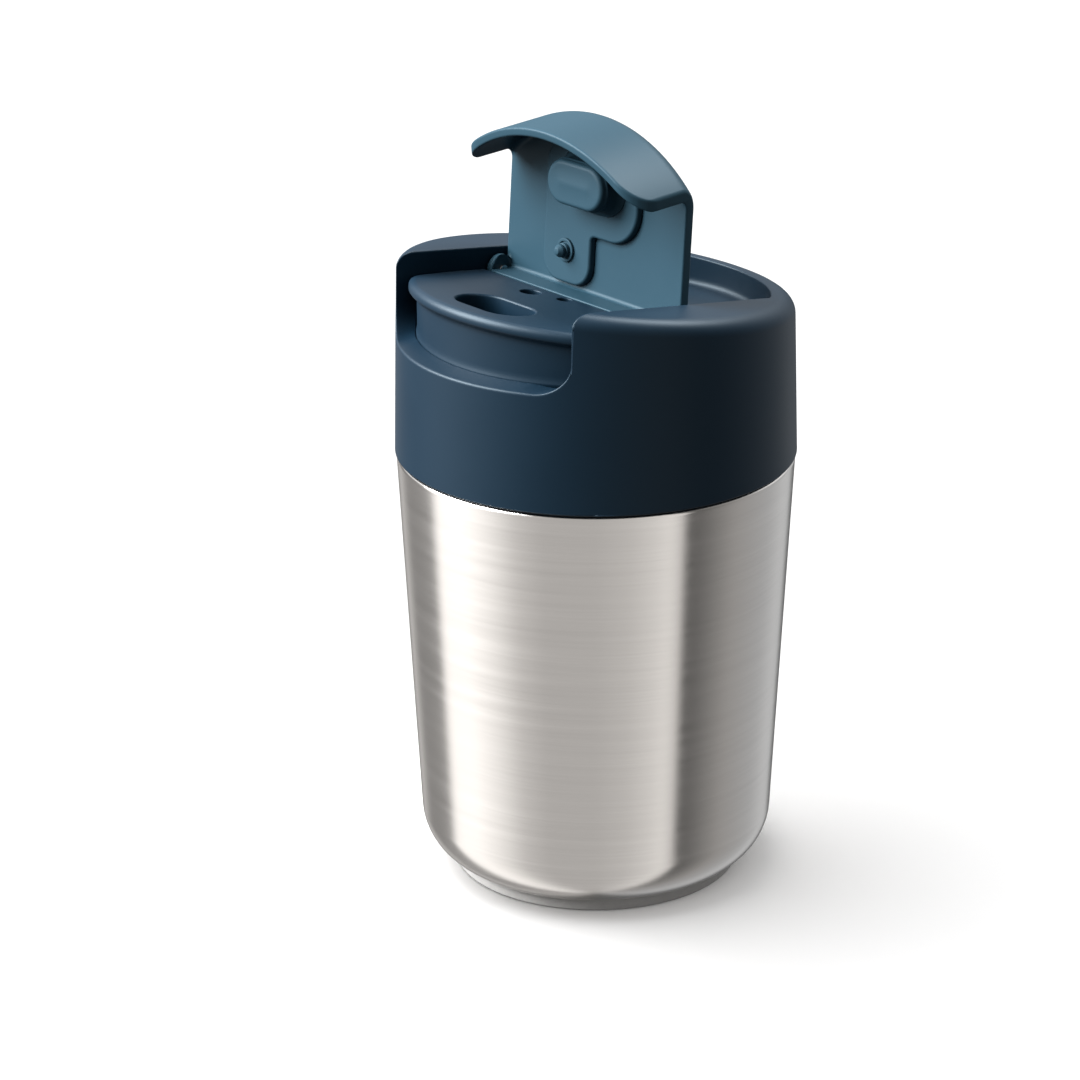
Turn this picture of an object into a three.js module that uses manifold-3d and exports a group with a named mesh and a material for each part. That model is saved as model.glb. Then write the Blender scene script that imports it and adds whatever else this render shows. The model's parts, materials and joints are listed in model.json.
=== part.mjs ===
// Insulated travel mug: a double-walled steel cup, a screw lid whose top slopes up to the front,
// and a flip cap that stands open over the drinking hole.
// Millimetres, +Z up, front of the mug towards -Y, origin at the centre of the resting face.

import * as THREE from 'three';
import { mergeVertices } from 'three/addons/utils/BufferGeometryUtils.js';
import Module from 'manifold-3d';

const wasm = await Module();
wasm.setup();

// Cup, outer wall
const SHOULDER_HEIGHT = 94.9; // flat shoulder that the lid closes down to
const SHOULDER_RADIUS = 42.7; // outer wall at the shoulder
const BASE_RADIUS = 37.8; // where the wall's line would meet the base plane
const BASE_PLANE = 1.6; // underside of the steel
const BASE_ROUND = 11.7;
const OUTER_WALL = 0.6;
const BASE_OPENING = 26;
const SHOULDER_ROUND = 0.8;
const NECK_ROUND = 0.7; // where the shoulder turns up into the neck

// Cup, neck and liner
const NECK_RADIUS = 38.6;
const NECK_HEIGHT = 16.1; // from shoulder to mouth
const LINER_WALL = 0.5;
const LINER_FOOT_RADIUS = 35;
const LINER_FOOT_HEIGHT = 7.5; // underside of the liner's floor
const LINER_ROUND = 9;
const MOUTH_LIP = 0.6;
const FOIL_WALL = 0.25;
const FOIL_LOW_MARGIN = 2; // above the liner's round corner
const FOIL_HIGH_MARGIN = 6; // below the shoulder

// Foot pad
const FOOT_RADIUS = 31.3;
const FOOT_RECESS_RADIUS = 23;
const FOOT_RECESS = 0.5;
const FOOT_EDGE = 0.6; // bevel of the pad's lower edge, and its margin from the steel's corner

// Thread, right hand, one start
const THREAD_LEAD = 6;
const THREAD_WIDTH = 1.6;
const THREAD_DEPTH = 1.3;
const THREAD_RUN_OUT = 0.1; // share of the length over which each end rises
const THREAD_END = 0.2; // share of the depth that is left at the very end
const NECK_THREAD_TURNS = 1.25;
const LID_THREAD_TURNS = 1.1;
const NECK_THREAD_START = 4.3; // above the shoulder, at the middle of the ridge
const LID_THREAD_START = 1.3; // half a lead under the neck's ridge when seated
const LID_THREAD_ANGLE = 60; // degrees, where the ridge in the skirt starts

// Lid collar
const COLLAR_RADIUS = 43;
const COLLAR_DRAFT = 0.0243;
const SKIRT_CLEARANCE = 2; // inside of the skirt to the neck, room for the thread
const SHOULDER_WALL = 2.4; // wall of the hollow shoulders
const LID_HEIGHT = 38.5; // from the collar's lower edge to its top plane, on the axis
const TOP_SLOPE = 0.147; // rise of the top plane per mm towards the front
const TOP_ROUND = 3.5;
const DECK = 2.4;
const UNDER_ROUND = 1; // corner inside the hollow shoulders
const WELL_HALF_WIDTH = 28;
const WELL_WALL = 2;
const REAR_WELL_RADIUS = 36.8;
const WELL_FLOOR = 26.8; // above the collar's lower edge
const FLOOR_WALL = 2.4;
const NOTCH_SILL = 25.6; // front sill, above the collar's lower edge
const NOTCH_ROUND = 6.5;
const WELD_STEP_HEIGHT = 19.7; // where the lid base meets the collar, above its lower edge
const WELD_STEP_WIDTH = 1.9;

// Spout insert, the drum inside the well
const DRUM_DROP = 4.8; // below the top plane
const DRUM_FRONT_RADIUS = 37.8;
const DRUM_ROUND = 5;
const DRUM_WALL = 2;
const BEAD_RADIUS = 39.6;
const BEAD_HEIGHT = 2.6;
const FLANGE_WALL = 2.3;
const FLANGE_WIDTH = 1.8;
const SPOUT_LENGTH = 19.2;
const SPOUT_WIDTH = 11.4;
const SPOUT_MARGIN = 0.16; // between the drinking hole and the inside of the plug
const VENT_RADIUS = 2.25;
const BLEED_RADIUS = 1.6;
const TUBE_WALL = 1.3;

// Lid base and its seals
const BASE_DISC = 2;
const PLUG_CLEARANCE = 0.9; // plug to the inside of the liner
const PLUG_WALL = 2.3;
const PLUG_DEPTH = 8.6;
const PLUG_SHOULDER = 1; // from the cup's lip up to where the plug starts
const GASKET_HEIGHT = 3.4;
const GASKET_GRIP = 1.2; // depth of the groove that holds the gasket
const MOUTH_CLEARANCE = 0.2;
const SEAL_WIDTH = 1.2;
const SEAL_HEIGHT = 1.8;

// Flip cap, drawn shut and then stood open about its hinge
const HINGE_BELOW_TOP = 4.73; // hinge axis under the top plane
const OPEN_ANGLE = 85.6;
const FLIP_WALL = 2.2;
const LIP_WALL = 1.9;
const LIP_INSET = 0.1; // shut lip behind the collar's outer face
const LIP_SILL = 26.4; // lower edge of the shut lip, above the collar's lower edge
const BARREL_RADIUS = 3.2;
const EAR_WIDTH = 1.5;
const PIN_RADIUS = 1;
const PIN_CLEARANCE = 0.15;
const PIN_LENGTH = 5;
const PIN_BORE_REACH = 32; // each side of the middle, short of the collar's outer wall
const HEEL_STEPS = 12;

// Stopper on the underside of the flip cap
const PAD_HEIGHT = 1.15;
const PAD_LEFT = -14.4;
const PAD_LEG_RIGHT = 0.5;
const PAD_LOBE_RIGHT = 14.4;
const PAD_START = 1.2; // from the hinge axis along the cap
const PAD_STEP = 12.8;
const PAD_LIP_MARGIN = 0.9; // between the pad and the inside of the lip
const PAD_ROUND = 5;
const LOBE_ROUND = 8;
const STOPPER_X = 0.5;
const STOPPER_REACH = 24.5; // from the hinge axis along the cap
const STOPPER_HEIGHT = 5.6;
const STOPPER_FLANGE = 0.55;
const STOPPER_RIM = 0.8; // how far the flange stands out round the pill
const STOPPER_TAPER = 0.7;
const VENT_X = -6.9;
const VENT_REACH = 8.45;
const VENT_PLUG_HEIGHT = 2.6;
const VENT_STEM_HEIGHT = 1.8;
const VENT_STEM_RADIUS = 1.35;
const VENT_TIP_RADIUS = 0.54;
const BLEED_X = 1;
const BLEED_REACH = 5.9;

// Clearances between pieces
const GAP = 0.3;
const SLIDE_GAP = 0.4; // flip cap to the walls of the well
const LID_SEAT_GAP = 0.34; // collar to the cup's shoulder

const ROUND_SEGMENTS = 48;
const SMALL_SEGMENTS = 24;
const THREAD_STEPS = 30; // for each turn
const FAR = 80; // reaches past every piece sideways
const HIGH = 240; // above every piece
const SINK = 0.3; // how far joined shapes run into each other

// Heights worked out from the sizes above
const lidFoot = SHOULDER_HEIGHT + LID_SEAT_GAP;
const topPlane = lidFoot + LID_HEIGHT;
const mouth = SHOULDER_HEIGHT + NECK_HEIGHT;
const topTilt = Math.atan(TOP_SLOPE);
const linerRadius = NECK_RADIUS - OUTER_WALL - GAP; // outside of the liner in the neck
const plugRadius = linerRadius - LINER_WALL - PLUG_CLEARANCE;
// The drinking hole runs down just inside the plug's wall, and the hinge stands behind it.
const spoutY = SPOUT_WIDTH / 2 + SPOUT_MARGIN + PLUG_WALL - plugRadius;
const hingeY = spoutY + STOPPER_REACH * Math.cos(topTilt);
const hinge = new THREE.Vector3(0, hingeY, topPlane - HINGE_BELOW_TOP - TOP_SLOPE * hingeY);
const skirtInner = NECK_RADIUS + SKIRT_CLEARANCE;
const wellFloor = lidFoot + WELL_FLOOR;
const weldStep = lidFoot + WELD_STEP_HEIGHT;
const flipHalfWidth = WELL_HALF_WIDTH - SLIDE_GAP;
const drumHalfWidth = WELL_HALF_WIDTH - GAP;
const drumRear = hingeY - BARREL_RADIUS - GAP;

const finish = {
  steel: { color: 0xb9b6b2, roughness: 0.32, metalness: 1 },
  foil: { color: 0xc98a5e, roughness: 0.25, metalness: 1 },
  getter: { color: 0x6b6a68, roughness: 0.7, metalness: 0.4 },
  solder: { color: 0x8d8f91, roughness: 0.4, metalness: 1 },
  navy: { color: 0x12293d, roughness: 0.45, metalness: 0 },
  blue: { color: 0x4b7083, roughness: 0.42, metalness: 0 },
  bluePad: { color: 0x456a7e, roughness: 0.55, metalness: 0 },
  silicone: { color: 0x3a4148, roughness: 0.75, metalness: 0 },
  clear: { color: 0xc9ced2, roughness: 0.6, metalness: 0 },
};

// ---------------------------------------------------------------- shapes

// Turns corners [x, y, radius] into points, each corner rounded by its radius.
function rounded(corners, divisions = 4) {
  const points = [];
  const count = corners.length;
  corners.forEach(([x, y, radius = 0], index) => {
    const corner = new THREE.Vector2(x, y);
    if (radius === 0) {
      points.push(corner);
      return;
    }
    const before = new THREE.Vector2(...corners[(index + count - 1) % count]).sub(corner).normalize();
    const after = new THREE.Vector2(...corners[(index + 1) % count]).sub(corner).normalize();
    const half = Math.acos(THREE.MathUtils.clamp(before.dot(after), -1, 1)) / 2;
    const centre = before.clone().add(after).normalize().multiplyScalar(radius / Math.sin(half)).add(corner);
    const from = before.multiplyScalar(radius / Math.tan(half)).add(corner).sub(centre);
    const to = after.multiplyScalar(radius / Math.tan(half)).add(corner).sub(centre);
    const sweep = Math.atan2(from.cross(to), from.dot(to));
    for (let step = 0; step <= divisions; step += 1) {
      points.push(from.clone().rotateAround(new THREE.Vector2(), (sweep * step) / divisions).add(centre));
    }
  });
  return points;
}

// A closed mesh made a solid: shared points merged, collapsed triangles dropped, faces pointing out.
function solid(geometry) {
  geometry.deleteAttribute('normal');
  geometry.deleteAttribute('uv');
  const merged = mergeVertices(geometry, 1e-4);
  const position = merged.attributes.position;
  const index = merged.index.array;
  const corner = [0, 1, 2].map(() => new THREE.Vector3());
  const triangles = [];
  let volume = 0;
  for (let at = 0; at < index.length; at += 3) {
    const [a, b, c] = [index[at], index[at + 1], index[at + 2]];
    if (a === b || b === c || c === a) continue;
    triangles.push([a, b, c]);
    corner.forEach((point, side) => point.fromBufferAttribute(position, index[at + side]));
    volume += corner[0].dot(corner[1].cross(corner[2]));
  }
  const outward = volume > 0 ? triangles : triangles.map(([a, b, c]) => [a, c, b]);
  return new wasm.Manifold(new wasm.Mesh({
    numProp: 3,
    vertProperties: Float32Array.from(position.array),
    triVerts: Uint32Array.from(outward.flat()),
  }));
}

// A profile of [radius, height] points turned about the vertical axis.
function turnedGeometry(profile, segments = ROUND_SEGMENTS) {
  const points = profile.map((point) => new THREE.Vector2(point.x ?? point[0], point.y ?? point[1]));
  const closing = points[0].x === 0 && points[points.length - 1].x === 0 ? [] : [points[0].clone()];
  return new THREE.LatheGeometry([...points, ...closing], segments).rotateX(Math.PI / 2);
}

const turned = (profile, segments) => solid(turnedGeometry(profile, segments));

// A flat outline raised from one height to another.
function raisedGeometry(outline, low, high) {
  const shape = new THREE.Shape(outline);
  return new THREE.ExtrudeGeometry(shape, { depth: high - low, bevelEnabled: false }).translate(0, 0, low);
}

const raised = (outline, low, high) => solid(raisedGeometry(outline, low, high));

// An outline in the XZ plane carried along Y, from one value of y to a larger one.
function carriedAlongY(outline, from, to) {
  const bar = new THREE.ExtrudeGeometry(new THREE.Shape(outline), { depth: to - from, bevelEnabled: false });
  return solid(bar.rotateX(Math.PI / 2).translate(0, to, 0));
}

// An outline in the YZ plane carried along X.
function carriedAlongX(outline, from, to) {
  const bar = new THREE.ExtrudeGeometry(new THREE.Shape(outline), { depth: to - from, bevelEnabled: false });
  return solid(bar.rotateY(Math.PI / 2).rotateX(Math.PI / 2).translate(from, 0, 0));
}

function block(low, high) {
  const size = high.map((value, axis) => value - low[axis]);
  const middle = high.map((value, axis) => (value + low[axis]) / 2);
  return solid(new THREE.BoxGeometry(...size).translate(...middle));
}

function cylinder(radius, low, high, x = 0, y = 0, segments = ROUND_SEGMENTS) {
  const shape = new THREE.CylinderGeometry(radius, radius, high - low, segments);
  return solid(shape.rotateX(Math.PI / 2).translate(x, y, (low + high) / 2));
}

// A cylinder along X whose axis passes through (y, z).
function crossCylinder(radius, from, to, y, z) {
  const shape = new THREE.CylinderGeometry(radius, radius, to - from, SMALL_SEGMENTS);
  return solid(shape.rotateZ(Math.PI / 2).translate((from + to) / 2, y, z));
}

// Slopes everything above a height like the lid's top plane: higher at the front.
function sloped(geometry, above) {
  const position = geometry.attributes.position;
  for (let at = 0; at < position.count; at += 1) {
    if (position.getZ(at) > above) {
      position.setZ(at, position.getZ(at) - TOP_SLOPE * position.getY(at));
    }
  }
  return solid(geometry);
}

// A long hole's outline: two half circles joined by straight sides along X.
function longHole(x, y, length, width) {
  const reach = (length - width) / 2;
  const shape = new THREE.Shape();
  shape.absarc(x + reach, y, width / 2, -Math.PI / 2, Math.PI / 2, false);
  shape.absarc(x - reach, y, width / 2, Math.PI / 2, Math.PI * 1.5, false);
  return shape.getPoints(8);
}

// A ridge wound on a cylinder: a straight bar of trapezoid section bent into a helix.
// side is 1 for a ridge that stands out of a neck and -1 for one inside a skirt.
function threadRidge(rootRadius, side, startAngle, startHeight, turns) {
  const section = [
    [-THREAD_WIDTH / 2, -SINK],
    [THREAD_WIDTH / 2, -SINK],
    [THREAD_WIDTH / 4, THREAD_DEPTH],
    [-THREAD_WIDTH / 4, THREAD_DEPTH],
  ].map(([axial, radial]) => new THREE.Vector2(axial, radial));
  const steps = Math.round(turns * THREAD_STEPS);
  const options = { depth: turns, steps, bevelEnabled: false };
  const bar = new THREE.ExtrudeGeometry(new THREE.Shape(section), options);
  const position = bar.attributes.position;
  const runOut = turns * THREAD_RUN_OUT;
  for (let at = 0; at < position.count; at += 1) {
    const turn = position.getZ(at);
    const fade = Math.min(1, THREAD_END + turn / runOut, THREAD_END + (turns - turn) / runOut);
    const radial = position.getY(at) > 0 ? position.getY(at) * fade : position.getY(at);
    const angle = startAngle + turn * Math.PI * 2;
    const radius = rootRadius + side * radial;
    const height = startHeight + THREAD_LEAD * turn + position.getX(at);
    position.setXYZ(at, radius * Math.cos(angle), radius * Math.sin(angle), height);
  }
  return solid(bar);
}

function node(name, shape, look) {
  const geometry = shape.isBufferGeometry ? shape : new THREE.BufferGeometry();
  if (!shape.isBufferGeometry) {
    const { vertProperties, triVerts } = shape.getMesh();
    geometry.setAttribute('position', new THREE.BufferAttribute(vertProperties, 3));
    geometry.setIndex(new THREE.BufferAttribute(triVerts, 1));
    geometry.computeVertexNormals();
  }
  const mesh = new THREE.Mesh(geometry, new THREE.MeshStandardMaterial(look));
  mesh.name = name;
  return mesh;
}

// ---------------------------------------------------------------- cup

// Radius of the straight outer wall at a height.
function wallRadius(height) {
  const share = (height - BASE_PLANE) / (SHOULDER_HEIGHT - BASE_PLANE);
  return BASE_RADIUS + (SHOULDER_RADIUS - BASE_RADIUS) * share;
}

// Drawn steel: rounded base corner, leaning wall, flat shoulder, and a neck with a rolled thread.
function outerShell() {
  const inside = SHOULDER_RADIUS - OUTER_WALL;
  const wall = turned(rounded([
    [BASE_OPENING, BASE_PLANE],
    [BASE_RADIUS, BASE_PLANE, BASE_ROUND],
    [SHOULDER_RADIUS, SHOULDER_HEIGHT, SHOULDER_ROUND],
    [NECK_RADIUS, SHOULDER_HEIGHT, NECK_ROUND],
    [NECK_RADIUS, mouth],
    [NECK_RADIUS - OUTER_WALL, mouth],
    [NECK_RADIUS - OUTER_WALL, SHOULDER_HEIGHT - OUTER_WALL],
    [inside, SHOULDER_HEIGHT - OUTER_WALL],
    [BASE_RADIUS - OUTER_WALL, BASE_PLANE + OUTER_WALL, BASE_ROUND - OUTER_WALL],
    [BASE_OPENING, BASE_PLANE + OUTER_WALL],
  ]));
  const start = SHOULDER_HEIGHT + NECK_THREAD_START;
  return wall.add(threadRidge(NECK_RADIUS, 1, 0, start, NECK_THREAD_TURNS));
}

// Radius of the liner's outside at a height below the shoulder.
function linerOutside(height) {
  const share = (height - LINER_FOOT_HEIGHT) / (SHOULDER_HEIGHT - LINER_FOOT_HEIGHT);
  return LINER_FOOT_RADIUS + LINER_WALL + (linerRadius - LINER_FOOT_RADIUS - LINER_WALL) * share;
}

// The liner is a deep cup whose lip is turned out over the neck, where the two walls are welded.
function innerShell() {
  const foot = LINER_FOOT_RADIUS + LINER_WALL;
  const lipTop = mouth + GAP + MOUTH_LIP;
  return turned([
    new THREE.Vector2(0, LINER_FOOT_HEIGHT),
    ...rounded([
      [0, LINER_FOOT_HEIGHT],
      [foot, LINER_FOOT_HEIGHT, LINER_ROUND],
      [linerRadius, SHOULDER_HEIGHT],
      [linerRadius, mouth + GAP],
      [NECK_RADIUS, mouth + GAP],
      [NECK_RADIUS, lipTop],
      [linerRadius - LINER_WALL, lipTop, MOUTH_LIP / 2],
      [linerRadius - LINER_WALL, SHOULDER_HEIGHT],
      [LINER_FOOT_RADIUS, LINER_FOOT_HEIGHT + LINER_WALL, LINER_ROUND - LINER_WALL],
      [0, LINER_FOOT_HEIGHT + LINER_WALL],
    ]).slice(1),
  ]);
}

// Copper foil wound once round the liner, in the vacuum space.
function foilWrap() {
  const low = LINER_FOOT_HEIGHT + LINER_ROUND + FOIL_LOW_MARGIN;
  const high = SHOULDER_HEIGHT - FOIL_HIGH_MARGIN;
  return turned([
    [linerOutside(low) + GAP, low],
    [linerOutside(low) + GAP + FOIL_WALL, low],
    [linerOutside(high) + GAP + FOIL_WALL, high],
    [linerOutside(high) + GAP, high],
  ]);
}

const PLATE_RISE = 2; // raised middle of the base plate
const PLATE_RISE_RADIUS = 15;
const PUMP_HOLE_RADIUS = 1.2;
const plateTop = BASE_PLANE + PLATE_RISE + OUTER_WALL;

// Welded base plate with a raised middle and the pump hole the air is drawn through.
function basePlate() {
  const rim = BASE_OPENING - GAP;
  return turned([
    [PUMP_HOLE_RADIUS, BASE_PLANE + PLATE_RISE],
    [PLATE_RISE_RADIUS, BASE_PLANE + PLATE_RISE],
    [PLATE_RISE_RADIUS + PLATE_RISE, BASE_PLANE],
    [rim, BASE_PLANE],
    [rim, BASE_PLANE + OUTER_WALL],
    [PLATE_RISE_RADIUS + PLATE_RISE, BASE_PLANE + OUTER_WALL],
    [PLATE_RISE_RADIUS, plateTop],
    [PUMP_HOLE_RADIUS, plateTop],
  ]);
}

const SOLDER_RADIUS = 2.6;
const SOLDER_HEIGHT = 0.9;
const GETTER_X = 8.5;
const GETTER_RADIUS = 4;
const GETTER_HEIGHT = 1;
const CLIP_LENGTH = 11;
const CLIP_WIDTH = 3;
const CLIP_WALL = 0.4;

// The solder bead that closes the pump hole from below.
function pumpSeal() {
  const top = BASE_PLANE + PLATE_RISE - GAP;
  return cylinder(SOLDER_RADIUS, top - SOLDER_HEIGHT, top, 0, 0, SMALL_SEGMENTS);
}

// Spring strip spot-welded to the base plate, and the getter tablet it carries.
function getterClip() {
  const low = plateTop + GAP;
  return block(
    [GETTER_X - CLIP_LENGTH / 2, -CLIP_WIDTH / 2, low],
    [GETTER_X + CLIP_LENGTH / 2, CLIP_WIDTH / 2, low + CLIP_WALL],
  );
}

function getterTablet() {
  const low = plateTop + GAP + CLIP_WALL + GAP;
  return cylinder(GETTER_RADIUS, low, low + GETTER_HEIGHT, GETTER_X, 0, SMALL_SEGMENTS);
}

// Silicone pad under the base: it follows the steel's round corner and stands on an outer ring.
function footPad() {
  const top = BASE_PLANE - GAP;
  const roundStart = BASE_RADIUS - BASE_ROUND + FOOT_EDGE;
  const reach = BASE_ROUND + GAP;
  const follow = [0.25, 0.5, 0.75, 1].map((share) => {
    const along = (FOOT_RADIUS - roundStart) * share;
    return [roundStart + along, top + reach - Math.sqrt(reach ** 2 - along ** 2)];
  });
  return turned([
    [0, FOOT_RECESS],
    [FOOT_RECESS_RADIUS, FOOT_RECESS],
    [FOOT_RECESS_RADIUS + FOOT_RECESS, 0],
    [FOOT_RADIUS - FOOT_EDGE, 0],
    [FOOT_RADIUS, FOOT_EDGE],
    ...follow.reverse(),
    [roundStart, top],
    [0, top],
  ]);
}

const cup = new THREE.Group();
cup.add(
  node('outer_shell', outerShell(), finish.steel),
  node('inner_shell', innerShell(), finish.steel),
  node('base_plate', basePlate(), finish.steel),
  node('foil_wrap', foilWrap(), finish.foil),
  node('pump_seal', pumpSeal(), finish.solder),
  node('getter_clip', getterClip(), finish.steel),
  node('getter_tablet', getterTablet(), finish.getter),
  node('foot_pad', footPad(), finish.silicone),
);

// ---------------------------------------------------------------- lid

const plugFoot = mouth + GAP + MOUTH_LIP + PLUG_SHOULDER - PLUG_DEPTH;
const discFoot = weldStep - GAP - BASE_DISC;
const gasketMiddle = (plugFoot + mouth) / 2;

// A solid of revolution with the lid's sloping, rounded top. inset moves its wall inwards
// and drop lowers its top plane.
function lidBlank(inset, drop, round) {
  const radius = (height) => COLLAR_RADIUS - inset - COLLAR_DRAFT * (height - lidFoot);
  const top = topPlane - drop;
  const profile = rounded([
    [0, lidFoot],
    [radius(lidFoot), lidFoot],
    [radius(top), top, round],
    [0, top],
  ]);
  return sloped(turnedGeometry(profile), lidFoot + 1);
}

// The drum's plan: flat sides and back, a round front, and rounded front corners.
function drumPlan(halfWidth, rear, frontRadius, cornerRadius) {
  const centreX = halfWidth - cornerRadius;
  const centreY = -Math.sqrt((frontRadius - cornerRadius) ** 2 - centreX ** 2);
  const bend = Math.atan2(centreY, centreX);
  const shape = new THREE.Shape();
  shape.moveTo(-halfWidth, rear);
  shape.lineTo(-halfWidth, centreY);
  shape.absarc(-centreX, centreY, cornerRadius, Math.PI, Math.PI - bend, false);
  shape.absarc(0, 0, frontRadius, Math.PI - bend, bend + Math.PI * 2, false);
  shape.absarc(centreX, centreY, cornerRadius, bend, 0, false);
  shape.lineTo(halfWidth, rear);
  return shape.getPoints(6);
}

// The one-piece collar: skirt with its inner thread, shoulders hollow from below, the well for
// the drum and the hinge, and the notch that the cap's lip drops into.
function collar() {
  const sill = lidFoot + NOTCH_SILL;
  const notch = carriedAlongY(rounded([
    [-WELL_HALF_WIDTH, sill, NOTCH_ROUND],
    [WELL_HALF_WIDTH, sill, NOTCH_ROUND],
    [WELL_HALF_WIDTH, topPlane + FAR],
    [-WELL_HALF_WIDTH, topPlane + FAR],
  ]), -FAR, drumRear + GAP);
  const frontWell = block([-WELL_HALF_WIDTH, -FAR, sill], [WELL_HALF_WIDTH, drumRear + GAP, HIGH])
    .intersect(cylinder(DRUM_FRONT_RADIUS + GAP, sill - 1, HIGH));
  const rearWell = block([-WELL_HALF_WIDTH, drumRear, wellFloor], [WELL_HALF_WIDTH, FAR, HIGH])
    .intersect(cylinder(REAR_WELL_RADIUS, wellFloor - 1, HIGH));
  const drumHole = raised(
    drumPlan(drumHalfWidth + GAP, drumRear + GAP, DRUM_FRONT_RADIUS + GAP, DRUM_ROUND + GAP),
    lidFoot,
    topPlane + FAR,
  );
  const underFloor = wellFloor - FLOOR_WALL;
  const bore = cylinder(skirtInner, lidFoot - 1, weldStep)
    .add(cylinder(skirtInner - WELD_STEP_WIDTH, lidFoot - 1, underFloor));
  const shoulderPlan = (side) => block(
    [side > 0 ? WELL_HALF_WIDTH + WELL_WALL : -FAR, -FAR, underFloor - 1],
    [side > 0 ? FAR : -WELL_HALF_WIDTH - WELL_WALL, FAR, HIGH],
  );
  const underDeck = lidBlank(SHOULDER_WALL, DECK, UNDER_ROUND);
  const pinBore = crossCylinder(
    PIN_RADIUS + PIN_CLEARANCE,
    -PIN_BORE_REACH,
    PIN_BORE_REACH,
    hinge.y,
    hinge.z,
  );
  const threadAngle = THREE.MathUtils.degToRad(LID_THREAD_ANGLE);
  const threadStart = SHOULDER_HEIGHT + LID_THREAD_START + (THREAD_LEAD * LID_THREAD_ANGLE) / 360;
  return lidBlank(0, 0, TOP_ROUND)
    .subtract(notch)
    .subtract(frontWell)
    .subtract(rearWell)
    .subtract(drumHole)
    .subtract(bore)
    .subtract(shoulderPlan(1).intersect(underDeck))
    .subtract(shoulderPlan(-1).intersect(underDeck))
    .subtract(pinBore)
    .add(threadRidge(skirtInner, -1, threadAngle, threadStart, LID_THREAD_TURNS));
}

const alongCap = (reach) => hinge.y - reach * Math.cos(topTilt);
const spout = new THREE.Vector2(STOPPER_X, spoutY);
const vent = new THREE.Vector2(VENT_X, alongCap(VENT_REACH));
const bleed = new THREE.Vector2(BLEED_X, alongCap(BLEED_REACH));
const tubeFoot = weldStep + GAP;

// Everything that runs down through the lid, widened by a margin.
function passages(margin, low, high) {
  return raised(longHole(spout.x, spout.y, SPOUT_LENGTH + 2 * margin, SPOUT_WIDTH + 2 * margin), low, high)
    .add(cylinder(VENT_RADIUS + margin, low, high, vent.x, vent.y, SMALL_SEGMENTS))
    .add(cylinder(BLEED_RADIUS + margin, low, high, bleed.x, bleed.y, SMALL_SEGMENTS));
}

// The drum: a hollow cover with a rolled bead at its front edge, a flange welded under the
// collar's floor, and three tubes down to the lid base.
function spoutInsert() {
  const top = topPlane - DRUM_DROP;
  const flangeTop = wellFloor - FLOOR_WALL - GAP;
  const flangeFoot = flangeTop - FLANGE_WALL;
  const middle = (flangeTop + top) / 2;
  const outer = sloped(
    raisedGeometry(drumPlan(drumHalfWidth, drumRear, DRUM_FRONT_RADIUS, DRUM_ROUND), flangeFoot, top),
    middle,
  );
  const bead = sloped(
    raisedGeometry(drumPlan(drumHalfWidth, drumRear, BEAD_RADIUS, DRUM_ROUND), top - BEAD_HEIGHT, top),
    middle,
  ).subtract(block([-FAR, hingeY - FAR / 4, 0], [FAR, FAR, HIGH]));
  const hollow = sloped(
    raisedGeometry(
      drumPlan(
        drumHalfWidth - DRUM_WALL,
        drumRear - DRUM_WALL,
        DRUM_FRONT_RADIUS - DRUM_WALL,
        DRUM_ROUND - DRUM_WALL,
      ),
      flangeFoot - 1,
      top - DRUM_WALL,
    ),
    middle,
  );
  const flangeRadius = skirtInner - WELD_STEP_WIDTH - GAP;
  const flange = raised(
    drumPlan(drumHalfWidth + FLANGE_WIDTH, drumRear + FLANGE_WIDTH, flangeRadius, DRUM_ROUND),
    flangeFoot,
    flangeTop,
  );
  const tubeRoom = sloped(
    raisedGeometry(drumPlan(drumHalfWidth, drumRear, DRUM_FRONT_RADIUS, DRUM_ROUND), 0, top),
    middle,
  );
  const tubes = passages(TUBE_WALL, tubeFoot, top + FAR).intersect(tubeRoom);
  return outer.add(bead).add(flange).subtract(hollow).add(tubes).subtract(passages(0, lidFoot, HIGH));
}

// Disc and plug that close the lid from below; the groove in the plug holds the gasket.
function lidBase() {
  const inner = plugRadius - PLUG_WALL;
  const groove = GASKET_HEIGHT / 2 + GAP;
  const body = turned([
    [0, discFoot],
    [inner, discFoot],
    [inner, plugFoot],
    [plugRadius, plugFoot],
    [plugRadius, gasketMiddle - groove],
    [plugRadius - GASKET_GRIP, gasketMiddle - groove],
    [plugRadius - GASKET_GRIP, gasketMiddle + groove],
    [plugRadius, gasketMiddle + groove],
    [plugRadius, discFoot],
    [skirtInner - GAP, discFoot],
    [skirtInner - GAP, discFoot + BASE_DISC],
    [0, discFoot + BASE_DISC],
  ]);
  return body.subtract(passages(0, lidFoot, HIGH));
}

// Ring that seals in the mouth of the cup: two soft lips on a band.
function lidGasket() {
  const inner = plugRadius - GASKET_GRIP + GAP;
  const lip = linerRadius - LINER_WALL - MOUTH_CLEARANCE;
  const band = (inner + lip) / 2;
  const half = GASKET_HEIGHT / 2;
  return turned([
    [inner, gasketMiddle - half],
    [lip, gasketMiddle - half],
    [band, gasketMiddle],
    [lip, gasketMiddle + half],
    [inner, gasketMiddle + half],
  ]);
}

// Soft collars round the tubes where they meet the lid base.
function spoutSeal() {
  const margin = TUBE_WALL + GAP;
  const ring = (extra) => raised(
    longHole(spout.x, spout.y, SPOUT_LENGTH + 2 * extra, SPOUT_WIDTH + 2 * extra),
    tubeFoot,
    tubeFoot + SEAL_HEIGHT,
  );
  return ring(margin + SEAL_WIDTH).subtract(ring(margin));
}

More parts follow.
